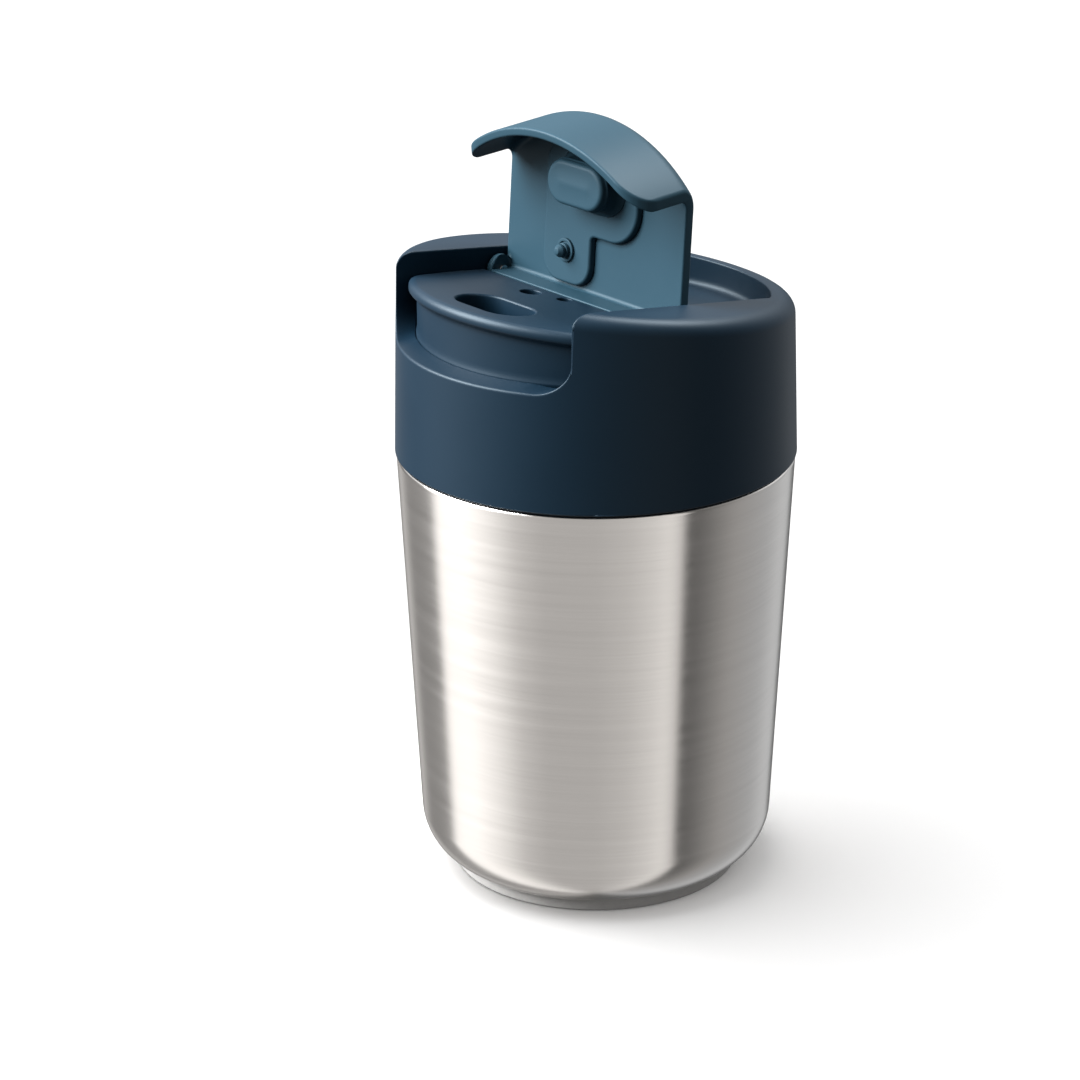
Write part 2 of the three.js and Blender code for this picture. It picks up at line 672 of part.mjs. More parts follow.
function ventSeal() {
  const margin = TUBE_WALL + GAP;
  const ring = (extra) => cylinder(
    VENT_RADIUS + extra,
    tubeFoot,
    tubeFoot + SEAL_HEIGHT,
    vent.x,
    vent.y,
    SMALL_SEGMENTS,
  );
  const clearOfBleed = cylinder(
    BLEED_RADIUS + margin,
    tubeFoot - 1,
    tubeFoot + SEAL_HEIGHT + 1,
    bleed.x,
    bleed.y,
    SMALL_SEGMENTS,
  );
  return ring(margin + SEAL_WIDTH).subtract(ring(margin)).subtract(clearOfBleed);
}

// Stub pins pressed into the walls of the well; the cap's ears turn on them.
function hingePin(side) {
  const outerEnd = WELL_HALF_WIDTH + WELL_WALL + GAP;
  const near = outerEnd - PIN_LENGTH;
  const [from, to] = side > 0 ? [near, outerEnd] : [-outerEnd, -near];
  return crossCylinder(PIN_RADIUS, from, to, hinge.y, hinge.z);
}

const lid = new THREE.Group();
lid.add(
  node('lid_gasket', lidGasket(), finish.silicone),
  node('collar', collar(), finish.navy),
  node('spout_insert', spoutInsert(), finish.navy),
  node('lid_base', lidBase(), finish.navy),
  node('spout_seal', spoutSeal(), finish.clear),
  node('vent_seal', ventSeal(), finish.clear),
  node('hinge_pin_left', hingePin(-1), finish.steel),
  node('hinge_pin_right', hingePin(1), finish.steel),
);

// ---------------------------------------------------------------- flip cap, drawn shut

// The plate and its lip are a skin of the lid's own outline, so the shut cap carries on the
// collar's shape; the heel is a barrel round the hinge, between two ears that take the pins.
function flipCap() {
  const sill = lidFoot + LIP_SILL;
  const outline = rounded([
    [-flipHalfWidth, sill, NOTCH_ROUND - SLIDE_GAP],
    [flipHalfWidth, sill, NOTCH_ROUND - SLIDE_GAP],
    [flipHalfWidth, topPlane + FAR],
    [-flipHalfWidth, topPlane + FAR],
  ]);
  const skin = lidBlank(LIP_INSET, 0, TOP_ROUND)
    .subtract(lidBlank(LIP_INSET + LIP_WALL, FLIP_WALL / Math.cos(topTilt), TOP_ROUND - LIP_WALL))
    .intersect(carriedAlongY(outline, -FAR, hingeY));
  const heelTop = HINGE_BELOW_TOP * Math.cos(topTilt);
  const heelArc = [];
  for (let step = 0; step <= HEEL_STEPS; step += 1) {
    const angle = Math.PI / 2 - (Math.PI * step) / HEEL_STEPS;
    const radius = BARREL_RADIUS + (heelTop - BARREL_RADIUS) * Math.max(0, Math.sin(angle));
    heelArc.push(new THREE.Vector2(radius * Math.cos(angle), radius * Math.sin(angle)));
  }
  const tilt = new THREE.Vector2(hinge.y, hinge.z);
  const axis = new THREE.Vector2();
  const place = (points) => points.map((point) => point.clone().rotateAround(axis, -topTilt).add(tilt));
  const heel = carriedAlongX(
    place([...heelArc, new THREE.Vector2(-SINK, -BARREL_RADIUS), new THREE.Vector2(-SINK, heelTop)]),
    -flipHalfWidth,
    flipHalfWidth,
  );
  const ear = (from) => crossCylinder(BARREL_RADIUS, from, from + EAR_WIDTH, hinge.y, hinge.z);
  const pinRoom = (from, to) => crossCylinder(PIN_RADIUS + PIN_CLEARANCE, from, to, hinge.y, hinge.z);
  const pinReach = WELL_HALF_WIDTH + WELL_WALL + GAP - PIN_LENGTH - GAP;
  return skin
    .add(heel)
    .add(ear(-flipHalfWidth))
    .add(ear(flipHalfWidth - EAR_WIDTH))
    .subtract(pinRoom(-FAR, -pinReach))
    .subtract(pinRoom(pinReach, FAR));
}

// Stopper pieces are drawn on the cap's own plane: x across, y = -reach from the hinge, z up.
const padTop = HINGE_BELOW_TOP * Math.cos(topTilt) - FLIP_WALL - GAP;
const padFoot = padTop - PAD_HEIGHT;
const lipInner = COLLAR_RADIUS - LIP_INSET - LIP_WALL - COLLAR_DRAFT * LID_HEIGHT - (TOP_ROUND - LIP_WALL);
const padEnd = (lipInner + hingeY) / Math.cos(topTilt) - PAD_LIP_MARGIN;

// P-shaped pad: a leg that covers the vents and a lobe that carries the drinking stopper.
function sealPad() {
  return raised(rounded([
    [PAD_LEFT, -PAD_START, PAD_ROUND],
    [PAD_LEFT, -padEnd, LOBE_ROUND],
    [PAD_LOBE_RIGHT, -padEnd, LOBE_ROUND],
    [PAD_LOBE_RIGHT, -PAD_STEP, LOBE_ROUND],
    [PAD_LEG_RIGHT, -PAD_STEP],
    [PAD_LEG_RIGHT, -PAD_START, PAD_ROUND],
  ]), padFoot, padTop);
}

// The drinking stopper: a flange against the pad and a tapering pill that fills the hole.
function spoutPlug() {
  const top = padFoot - GAP;
  const length = SPOUT_LENGTH - 2 * MOUTH_CLEARANCE;
  const width = SPOUT_WIDTH - 2 * MOUTH_CLEARANCE;
  const rim = longHole(STOPPER_X, -STOPPER_REACH, length + 2 * STOPPER_RIM, width + 2 * STOPPER_RIM);
  const flange = raised(rim, top - STOPPER_FLANGE, top);
  const pill = raisedGeometry(longHole(0, 0, length, width), top - STOPPER_HEIGHT, top);
  const position = pill.attributes.position;
  for (let at = 0; at < position.count; at += 1) {
    if (position.getZ(at) < top - STOPPER_HEIGHT / 2) {
      const shrink = 1 - (2 * STOPPER_TAPER) / width;
      position.setX(at, position.getX(at) * shrink);
      position.setY(at, position.getY(at) * shrink);
    }
  }
  return flange.add(solid(pill.translate(STOPPER_X, -STOPPER_REACH, 0)));
}

// The vent stopper: a ring, a stem and a pointed tip.
function ventPlug() {
  const top = padFoot - GAP;
  const shape = turnedGeometry([
    [0, top],
    [VENT_RADIUS - MOUTH_CLEARANCE, top],
    [VENT_RADIUS - MOUTH_CLEARANCE, top - STOPPER_FLANGE],
    [VENT_STEM_RADIUS, top - STOPPER_FLANGE],
    [VENT_STEM_RADIUS, top - VENT_STEM_HEIGHT],
    [VENT_TIP_RADIUS, top - VENT_PLUG_HEIGHT],
    [0, top - VENT_PLUG_HEIGHT],
  ], SMALL_SEGMENTS);
  return solid(shape.translate(VENT_X, -VENT_REACH, 0));
}

const stopper = new THREE.Group();
stopper.rotation.x = -topTilt;
stopper.add(
  node('seal_pad', sealPad(), finish.bluePad),
  node('spout_plug', spoutPlug(), finish.bluePad),
  node('vent_plug', ventPlug(), finish.bluePad),
);

const shutCap = node('flip_cap', flipCap(), finish.blue);
shutCap.position.copy(hinge).negate();

const flip = new THREE.Group();
flip.position.copy(hinge);
flip.rotation.x = -THREE.MathUtils.degToRad(OPEN_ANGLE);
flip.add(shutCap, stopper);

const mug = new THREE.Group();
mug.add(cup, lid, flip);

export default mug;
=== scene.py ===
import json
from math import atan, cos, pi, radians, sin

import bmesh
import bpy
import numpy as np
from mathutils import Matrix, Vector
from mathutils.geometry import tessellate_polygon


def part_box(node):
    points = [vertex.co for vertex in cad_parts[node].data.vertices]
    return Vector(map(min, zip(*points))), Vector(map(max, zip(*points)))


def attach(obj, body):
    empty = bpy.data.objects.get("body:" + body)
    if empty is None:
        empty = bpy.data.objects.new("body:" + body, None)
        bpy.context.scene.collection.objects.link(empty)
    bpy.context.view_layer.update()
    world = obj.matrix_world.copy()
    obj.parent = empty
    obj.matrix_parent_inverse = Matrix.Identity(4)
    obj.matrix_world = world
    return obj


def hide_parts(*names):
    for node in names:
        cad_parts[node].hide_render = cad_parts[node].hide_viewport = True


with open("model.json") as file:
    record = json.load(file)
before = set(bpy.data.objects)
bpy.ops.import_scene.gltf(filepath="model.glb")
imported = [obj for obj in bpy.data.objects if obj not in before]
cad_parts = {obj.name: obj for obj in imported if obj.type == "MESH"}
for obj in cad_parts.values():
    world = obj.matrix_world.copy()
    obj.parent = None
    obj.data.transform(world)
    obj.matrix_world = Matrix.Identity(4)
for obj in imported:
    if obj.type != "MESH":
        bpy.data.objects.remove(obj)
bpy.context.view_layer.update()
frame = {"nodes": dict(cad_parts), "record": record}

scene = bpy.context.scene
MM = 0.001

# ---------------------------------------------------------------------------
# Studio: a pale floor, a camera on the drinking side, two soft panels of light and a room.
# The floor is seen by the camera alone, so that the mug mirrors and is lit by the room.

AIM = Vector((0, 0, 73.67 * MM))
CAMERA_TURN = radians(48.5)
CAMERA_TILT = radians(21.156)
CAMERA_DISTANCE = 0.850
FRAME_PIXELS = 1080

camera = bpy.data.objects.new("camera", bpy.data.cameras.new("camera"))
scene.collection.objects.link(camera)
towards_camera = Vector((
    cos(CAMERA_TILT) * sin(CAMERA_TURN),
    -cos(CAMERA_TILT) * cos(CAMERA_TURN),
    sin(CAMERA_TILT),
))
camera.location = AIM + CAMERA_DISTANCE * towards_camera
camera.rotation_mode = "QUATERNION"
camera.rotation_quaternion = (-towards_camera).to_track_quat("-Z", "Y")
camera.data.sensor_width = 36
camera.data.lens = 131.14
camera.data.shift_x = -56 / FRAME_PIXELS
camera.data.clip_start = 0.01
scene.camera = camera
scene.view_settings.view_transform = "Standard"


def new_lamp(name, kind, side):
    """A lamp turned to shine from a side of the mug."""
    lamp = bpy.data.objects.new(name, bpy.data.lights.new(name, kind))
    scene.collection.objects.link(lamp)
    lamp.rotation_mode = "QUATERNION"
    lamp.rotation_quaternion = side.to_track_quat("Z", "Y")
    return lamp


def light_panel(name, turn, lift, distance, size, power):
    """A square soft panel facing the mug, turn degrees right of the camera's side and lift up."""
    around = CAMERA_TURN + radians(turn)
    up = radians(lift)
    side = Vector((cos(up) * sin(around), -cos(up) * cos(around), sin(up)))
    panel = new_lamp(name, "AREA", side)
    panel.location = AIM + distance * side
    panel.data.size = size
    panel.data.energy = power
    return panel


key_panel = light_panel("key_panel", -87, 38, 0.9, 0.7, 66)
top_panel = light_panel("top_panel", 125, 64, 1.1, 0.5, 26)

floor = bpy.data.objects.new("floor", bpy.data.meshes.new("floor"))
scene.collection.objects.link(floor)
FLOOR_REACH = 12.0
floor_corners = [(FLOOR_REACH * x, FLOOR_REACH * y, 0) for x, y in ((-1, -1), (1, -1), (1, 1), (-1, 1))]
floor.data.from_pydata(floor_corners, [], [(0, 1, 2, 3)])
floor.visible_glossy = False
floor.visible_diffuse = False


def new_material(name, **values):
    """A new material, its tree, and its shader with plain values set."""
    material = bpy.data.materials.new(name)
    material.use_nodes = True
    shader = material.node_tree.nodes["Principled BSDF"]
    for label, value in values.items():
        shader.inputs[label.replace("_", " ")].default_value = value
    return material, material.node_tree, shader


paper = new_material("paper", Base_Color=(0.93, 0.93, 0.93, 1), Roughness=0.9, Specular_IOR_Level=0)
floor.data.materials.append(paper[0])

# The two panels light the mug alone; the floor has a wide, even lamp of its own.
all_but_floor = bpy.data.collections.new("all_but_floor")
all_but_floor.objects.link(floor)
all_but_floor.collection_objects[0].light_linking.link_state = "EXCLUDE"
for panel in (key_panel, top_panel):
    panel.light_linking.receiver_collection = all_but_floor
floor_side = bpy.data.collections.new("floor_side")
floor_side.objects.link(floor)
LAMP_TURN = radians(-100)  # from the camera's side
LAMP_RISE = 2.2  # height for each unit of distance
lamp_bearing = CAMERA_TURN + LAMP_TURN
lamp_side = Vector((sin(lamp_bearing), -cos(lamp_bearing), LAMP_RISE))
floor_lamp = new_lamp("floor_lamp", "SUN", lamp_side)
floor_lamp.data.energy = 1.9
floor_lamp.data.angle = radians(50)
floor_lamp.light_linking.receiver_collection = floor_side

# The room: even light from above for matt surfaces, and for mirror-like ones a ring of upright
# panels and dark gaps, given as (degrees to the right of the camera's side, brightness).
room = bpy.data.worlds.new("room")
room.use_nodes = True
scene.world = room
room_tree = room.node_tree
RING_TOP = 1.6
RING = [
    (-180, 0.1), (-170, 0.12), (-158, 0.62), (-142, 0.28), (-113, 0.3), (-107, 1.5), (-86, 1.45),
    (-64, 1.05), (-48, 0.7), (-32, 0.58), (0, 0.6), (20, 0.7), (36, 0.88), (44, 1.04), (52, 0.9),
    (55, 0.1), (67, 0.19), (90, 0.4), (121, 0.52), (140, 0.66), (152, 0.62), (162, 0.12), (180, 0.1),
]
view = room_tree.nodes.new("ShaderNodeTexCoord")
split = room_tree.nodes.new("ShaderNodeSeparateXYZ")
room_tree.links.new(view.outputs["Generated"], split.inputs[0])


def room_math(operation, *values):
    """A Math node of the room's shader, fed by sockets or plain numbers."""
    node = room_tree.nodes.new("ShaderNodeMath")
    node.operation = operation
    for socket, value in zip(node.inputs, values):
        if isinstance(value, (int, float)):
            socket.default_value = value
        else:
            room_tree.links.new(value, socket)
    return node.outputs[0]


bearing = room_math("ARCTAN2", split.outputs["X"], room_math("MULTIPLY", split.outputs["Y"], -1))
from_camera = room_math("WRAP", room_math("SUBTRACT", bearing, CAMERA_TURN), pi, -pi)
around_ring = room_math("MULTIPLY_ADD", from_camera, 1 / (2 * pi), 0.5)
ring = room_tree.nodes.new("ShaderNodeValToRGB")
room_tree.links.new(around_ring, ring.inputs[0])
for index, (degrees, brightness) in enumerate(RING):
    place = (degrees + 180) / 360
    if 0 < index < len(RING) - 1:
        stop = ring.color_ramp.elements.new(place)
    else:
        stop = ring.color_ramp.elements[0 if index == 0 else -1]
    stop.position = place
    warm = 1.03 if degrees < 110 else 0.99
    stop.color = [min(1, brightness / RING_TOP * part) for part in (warm, 1, 2 - warm)] + [1]
# Behind the mug the paper sweep stands up and is bright, which shows on the sloping lid top.
SWEEP_BRIGHTNESS = 1.25
SWEEP_START_TURN, SWEEP_TURN_RATE = radians(100), 2.5
SWEEP_START_RISE, SWEEP_RISE_RATE = 0.1, 5


def ramp_up(value, start, rate):
    """0 up to start, then rising at rate to 1."""
    risen = room_math("MULTIPLY", room_math("SUBTRACT", value, start), rate)
    return room_math("MINIMUM", room_math("MAXIMUM", risen, 0.0), 1.0)


sweep_share = room_math(
    "MULTIPLY",
    ramp_up(room_math("ABSOLUTE", from_camera), SWEEP_START_TURN, SWEEP_TURN_RATE),
    ramp_up(split.outputs["Z"], SWEEP_START_RISE, SWEEP_RISE_RATE),
)
sweep = room_tree.nodes.new("ShaderNodeMix")
sweep.data_type = "RGBA"
room_tree.links.new(sweep_share, sweep.inputs[0])
room_tree.links.new(ring.outputs["Color"], sweep.inputs[6])
sweep_grey = SWEEP_BRIGHTNESS / RING_TOP
sweep.inputs[7].default_value = (sweep_grey, sweep_grey, sweep_grey, 1)
EVEN_BELOW = 0.12
EVEN_EXTRA_ABOVE = 0.62
above = room_math("GREATER_THAN", split.outputs["Z"], 0.0)
even = room_math("MULTIPLY_ADD", above, EVEN_EXTRA_ABOVE, EVEN_BELOW)
seen_by = room_tree.nodes.new("ShaderNodeLightPath")
glossy = seen_by.outputs["Is Glossy Ray"]
tone = room_tree.nodes.new("ShaderNodeMix")
tone.data_type = "RGBA"
tone.inputs[6].default_value = (1, 1, 1, 1)
room_tree.links.new(glossy, tone.inputs[0])
room_tree.links.new(sweep.outputs[2], tone.inputs[7])
backdrop = room_tree.nodes["Background"]
room_tree.links.new(tone.outputs[2], backdrop.inputs["Color"])
strength = room_math("ADD", room_math("MULTIPLY", glossy, RING_TOP),
                     room_math("MULTIPLY", room_math("SUBTRACT", 1.0, glossy), even))
room_tree.links.new(strength, backdrop.inputs["Strength"])

# ---------------------------------------------------------------------------
# Outer shell: drawn stainless steel, spun to a rounded foot, with a flat shoulder and a
# rolled neck; brushed round and round on a lathe, so it draws light out into upright bands.


def rounded(corners, steps=8):
    """Points through corners (x, y, radius): each corner becomes an arc of its radius, tangent to
    both sides, with its centre on the bisector at radius / sin(half the corner's angle)."""
    points = []
    corners = [tuple(c) + (0.0,) * (3 - len(c)) for c in corners]
    for index, (x, y, radius) in enumerate(corners):
        corner = np.array((x, y))
        if radius == 0:
            points.append(corner[None])
            continue
        before = np.array(corners[index - 1][:2]) - corner
        after = np.array(corners[(index + 1) % len(corners)][:2]) - corner
        before /= np.linalg.norm(before)
        after /= np.linalg.norm(after)
        half = np.arccos(np.clip(before @ after, -1, 1)) / 2
        middle = (before + after) / np.linalg.norm(before + after)
        centre = corner + middle * radius / np.sin(half)
        first = corner + before * radius / np.tan(half) - centre
        last = corner + after * radius / np.tan(half) - centre
        sweep = np.arctan2(first[0] * last[1] - first[1] * last[0], first @ last)
        angle = np.linspace(0, sweep, steps + 1)
        points.append(np.stack([
            centre[0] + first[0] * np.cos(angle) - first[1] * np.sin(angle),
            centre[1] + first[0] * np.sin(angle) + first[1] * np.cos(angle),
        ], 1))
    return np.concatenate(points)


def grid_faces(rows, columns, wrap_rows=False, wrap_columns=True):
    """Four-sided faces of a grid numbered row by row; a wrapped side joins its last to its first."""
    row = np.arange(rows if wrap_rows else rows - 1)[:, None]
    column = np.arange(columns if wrap_columns else columns - 1)[None, :]
    row_after = (row + 1) % rows
    column_after = (column + 1) % columns
    quads = np.stack(np.broadcast_arrays(
        row * columns + column,
        row * columns + column_after,
        row_after * columns + column_after,
        row_after * columns + column,
    ), -1)
    return quads.reshape(-1, 4).tolist()


def make_piece(name, parts, material, body, stands_for=()):
    """One closed mesh from parts, each (points, faces) in millimetres: doubles merged, faces turned
    outwards, shaded smooth with normals weighted by face area so that flats stay flat."""
    points, faces, start = [], [], 0
    for part_points, part_faces in parts:
        flat = np.asarray(part_points, float).reshape(-1, 3) * MM
        points.append(flat)
        faces.extend([[start + corner for corner in face] for face in part_faces])
        start += len(flat)
    mesh = bpy.data.meshes.new(name)
    mesh.from_pydata(np.concatenate(points).tolist(), [], faces)
    cleaner = bmesh.new()
    cleaner.from_mesh(mesh)
    bmesh.ops.remove_doubles(cleaner, verts=cleaner.verts, dist=2e-6)
    bmesh.ops.dissolve_degenerate(cleaner, edges=cleaner.edges, dist=1e-6)
    bmesh.ops.recalc_face_normals(cleaner, faces=cleaner.faces)
    cleaner.to_mesh(mesh)
    cleaner.free()
    mesh.polygons.foreach_set("use_smooth", np.ones(len(mesh.polygons), bool))
    mesh.materials.append(material)
    piece = bpy.data.objects.new(name, mesh)
    scene.collection.objects.link(piece)
    weighting = piece.modifiers.new("flat_faces_stay_flat", "WEIGHTED_NORMAL")
    weighting.weight = 80
    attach(piece, body)
    if stands_for:
        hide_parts(*stands_for)
    return piece


def turned(profile, segments=256):
    """Surface of revolution about Z: (r, z) carried round to (r cos a, r sin a, z). The profile
    starts and ends on the axis, or closes on itself."""
    profile = np.asarray(profile, float)
    angle = np.linspace(0, 2 * pi, segments, endpoint=False)
    radius = profile[:, 0][:, None]
    height = np.repeat(profile[:, 1][:, None], segments, 1)
    grid = np.stack([radius * np.cos(angle), radius * np.sin(angle), height], -1)
    on_axis = profile[0, 0] == 0 and profile[-1, 0] == 0
    return grid, grid_faces(len(profile), segments, wrap_rows=not on_axis)


def new_group(name, inputs, outputs):
    """An empty shader node group with named number inputs (name, value) and outputs (name, kind)."""
    group = bpy.data.node_groups.new(name, "ShaderNodeTree")
    for label, value in inputs:
        socket = group.interface.new_socket(label, in_out="INPUT", socket_type="NodeSocketFloat")
        socket.default_value = value
    for label, kind in outputs:
        group.interface.new_socket(label, in_out="OUTPUT", socket_type=kind)
    return group, group.nodes.new("NodeGroupInput"), group.nodes.new("NodeGroupOutput")


def add_node(tree, kind, links=None, **values):
    """A node with its settings and sockets set, and its inputs joined to other nodes' outputs."""
    node = tree.nodes.new(kind)
    for label, value in values.items():
        if hasattr(node, label):
            setattr(node, label, value)
        else:
            node.inputs[label.replace("_", " ")].default_value = value
    for label, source in (links or {}).items():
        tree.links.new(source, node.inputs[label])
    return node


def brushed_lines_group():
    """Lathe brushing: noise squeezed along Z, so each line runs a long way round and is a fraction
    of a millimetre tall. Lines is a 0-1 mask and Height feeds a bump."""
    group, given, made = new_group(
        "brushed_lines",
        [("Lines per Metre", 5200), ("Length Scale", 26), ("Softness", 0.5)],
        [("Lines", "NodeSocketFloat"), ("Height", "NodeSocketFloat"), ("Broad", "NodeSocketFloat")],
    )
    place = add_node(group, "ShaderNodeTexCoord")
    parts = add_node(group, "ShaderNodeSeparateXYZ", {"Vector": place.outputs["Object"]})
    scaled = []
    for axis, factor in (("X", "Length Scale"), ("Y", "Length Scale"), ("Z", "Lines per Metre")):
        times = add_node(group, "ShaderNodeMath", operation="MULTIPLY")
        group.links.new(parts.outputs[axis], times.inputs[0])
        group.links.new(given.outputs[factor], times.inputs[1])
        scaled.append(times.outputs[0])
    joined = add_node(group, "ShaderNodeCombineXYZ", dict(zip("XYZ", scaled)))
    fine = add_node(group, "ShaderNodeTexNoise", {"Vector": joined.outputs[0]}, Scale=1, Detail=4)
    wider = add_node(group, "ShaderNodeVectorMath", {0: joined.outputs[0]}, operation="MULTIPLY")
    wider.inputs[1].default_value = (0.5, 0.5, 0.12)
    coarse = add_node(group, "ShaderNodeTexNoise", {"Vector": wider.outputs[0]}, Scale=1, Detail=3)
    lines = add_node(group, "ShaderNodeMix", {2: fine.outputs["Fac"], 3: coarse.outputs["Fac"]})
    group.links.new(given.outputs["Softness"], lines.inputs[0])
    for label, node in (("Lines", lines), ("Height", fine), ("Broad", coarse)):
        group.links.new(node.outputs[0], made.inputs[label])
    return group


brushed_lines = brushed_lines_group()


def blend(tree, mask, dark, light):
    """From the dark colour to the light one by a 0-1 mask."""
    mix = add_node(tree, "ShaderNodeMix", {0: mask}, data_type="RGBA")
    mix.inputs[6].default_value = (*dark, 1)
    mix.inputs[7].default_value = (*light, 1)
    return mix.outputs[2]


def dress(tree, shader, colour, gloss_mask, smooth, rough, height, bump, depth):
    """Joins the colour, a roughness from smooth to rough by a mask, and a bump from a height."""
    gloss = add_node(tree, "ShaderNodeMapRange", {"Value": gloss_mask}, To_Min=smooth, To_Max=rough)
    relief = add_node(tree, "ShaderNodeBump", {"Height": height}, Strength=bump, Distance=depth)
    tree.links.new(colour, shader.inputs["Base Color"])
    tree.links.new(gloss.outputs[0], shader.inputs["Roughness"])
    tree.links.new(relief.outputs[0], shader.inputs["Normal"])


def brushed_steel(name, tint, roughness, lines_per_metre, contrast, bump):
    """Steel with brushing: the lines shade the colour a little, roughen it, and stand as a bump.
    The shine is drawn out across the lines by anisotropy about the mug's axis."""
    material, tree, shader = new_material(name, Metallic=1, Anisotropic=0.75, Anisotropic_Rotation=0.25)
    around = add_node(tree, "ShaderNodeTangent", direction_type="RADIAL", axis="Z")
    tree.links.new(around.outputs[0], shader.inputs["Tangent"])
    lines = add_node(tree, "ShaderNodeGroup", node_tree=brushed_lines)
    lines.inputs["Lines per Metre"].default_value = lines_per_metre
    dark = tuple(c * (1 - contrast) for c in tint)
    light = tuple(min(1, c * (1 + contrast)) for c in tint)
    dress(tree, shader, blend(tree, lines.outputs["Lines"], dark, light),
          lines.outputs["Broad"], roughness * 0.8, roughness * 1.25,
          lines.outputs["Height"], bump, 0.00003)
    return material


shell_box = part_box("outer_shell")
shell_low, shell_high = shell_box[0].z / MM, shell_box[1].z / MM
shell_radius = 42.7
foot_corner = 37.8  # where the wall's line meets the base plane
foot_round = 11.7
shoulder = 94.9
neck_radius = 38.6
steel_wall = 0.6
opening = 26.0

satin_steel = brushed_steel("satin_steel", (0.66, 0.645, 0.63), 0.2, 5200, 0.1, 0.25)
make_piece("steel_shell", [turned(rounded([
    (opening, shell_low),
    (foot_corner, shell_low, foot_round),
    (shell_radius, shoulder, 0.8),
    (neck_radius, shoulder, 0.7),
    (neck_radius, shell_high),
    (neck_radius - steel_wall, shell_high),
    (neck_radius - steel_wall, shoulder - steel_wall),
    (shell_radius - steel_wall, shoulder - steel_wall, 0.4),
    (foot_corner - steel_wall, shell_low + steel_wall, foot_round - steel_wall),
    (opening, shell_low + steel_wall),
], 14))], satin_steel, "cup", ["outer_shell"])

# ---------------------------------------------------------------------------
# Neck thread: a single ridge rolled out of the neck, wound right-handed, with run-outs
# where the ridge rises from the wall at either end.

thread_lead = 6.0
thread_reach = 0.96  # half its width
thread_depth = 1.3
thread_sink = 0.05  # the ridge's edges lie this far inside the wall
thread_root_depth = 0.25
neck_thread_start = shoulder + 4.3


def thread_ridge(root, side, start_turn, start_height, turns, steps=220):
    """Ridge on a helix: at angle a its middle is at start_height + lead * a / 360 degrees. Its
    section is a raised cosine across the width, scaled down to nothing at both ends."""
    along = np.linspace(0, 1, steps)[:, None]
    across = np.linspace(-1, 1, 13)[None, :]
    fade = np.clip(np.minimum(along, 1 - along) * turns * 10, 0, 1) ** 0.5
    height = thread_depth * fade * (0.5 + 0.5 * np.cos(across * pi)) ** 0.7
    turn = start_turn + along * turns * 2 * pi
    radius = root + side * (height - thread_sink)
    rise = start_height + along * turns * thread_lead + across * thread_reach
    outer = np.stack([radius * np.cos(turn), radius * np.sin(turn), rise], -1)
    under = np.full_like(radius, root - side * thread_root_depth)
    inner = np.stack([under * np.cos(turn), under * np.sin(turn), rise], -1)[:, ::-1]
    loop = np.concatenate([outer, inner], 1)
    columns = loop.shape[1]
    caps = [list(range(columns)), list(range((steps - 1) * columns, steps * columns))]
    return loop, grid_faces(steps, columns) + caps


make_piece("neck_thread", [thread_ridge(neck_radius, 1, 0, neck_thread_start, 1.25)],
           satin_steel, "cup")

# ---------------------------------------------------------------------------
# Liner: a second drawn steel cup inside the first, its lip turned out and welded over the
# neck; the inside is electropolished, so it is brighter and smoother than the outside.

liner_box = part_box("inner_shell")
liner_low, liner_high = liner_box[0].z / MM, liner_box[1].z / MM
liner_wall = 0.5
liner_radius = neck_radius - steel_wall - 0.3
liner_foot = 35.5
liner_round = 9.0
lip_height = 0.6
polished_steel = brushed_steel("polished_steel", (0.72, 0.72, 0.72), 0.2, 3000, 0.05, 0.25)
make_piece("steel_liner", [turned(np.concatenate([[(0, liner_low)], rounded([
    (0, liner_low),
    (liner_foot, liner_low, liner_round),
    (liner_radius, shoulder),
    (liner_radius, liner_high - lip_height),
    (neck_radius, liner_high - lip_height, 0.2),
    (neck_radius, liner_high, 0.25),
    (liner_radius - liner_wall, liner_high, 0.4),
    (liner_radius - liner_wall, shoulder, 4),
    (liner_foot - liner_wall, liner_low + liner_wall, liner_round - liner_wall),
    (0, liner_low + liner_wall),
], 10)[1:]]))], polished_steel, "cup", ["inner_shell"])

# ---------------------------------------------------------------------------
# Inside the double wall: a welded base plate, copper foil round the liner against radiant
# heat, the solder bead that shut the pump hole, and the getter that keeps the vacuum.


def patterned(name, dark, light, roughness, scale, bump,
              metallic=0.0, depth=0.00005, stretch=(1, 1, 1)):
    """A material whose colour, roughness and relief all vary with one noise on Object coordinates."""
    material, tree, shader = new_material(name, Metallic=metallic)
    place = add_node(tree, "ShaderNodeTexCoord")
    turn = add_node(tree, "ShaderNodeMapping", {"Vector": place.outputs["Object"]}, Scale=stretch)
    grain = add_node(tree, "ShaderNodeTexNoise", {"Vector": turn.outputs[0]}, Scale=scale, Detail=5)
    noise = grain.outputs["Fac"]
    dress(tree, shader, blend(tree, noise, dark, light), noise, roughness * 0.75, roughness * 1.25,
          noise, bump, depth)
    return material


def finish_node(name, material):
    """A kept CAD node gets its material in its own slots."""
    node = frame["nodes"][name]
    node.data.materials.clear()
    node.data.materials.append(material)


copper_foil = patterned("copper_foil", (0.55, 0.27, 0.14), (0.78, 0.42, 0.25),
                        0.24, 160, 0.8, 1, 0.0004)
sintered = patterned("sintered_getter", (0.1, 0.1, 0.1), (0.28, 0.27, 0.26), 0.7, 2600, 0.7, 0.6)
solder = patterned("solder", (0.3, 0.3, 0.31), (0.5, 0.5, 0.5), 0.38, 420, 0.6, 1, 0.0002)
finish_node("base_plate", satin_steel)
finish_node("foil_wrap", copper_foil)
finish_node("pump_seal", solder)
finish_node("getter_clip", polished_steel)
finish_node("getter_tablet", sintered)

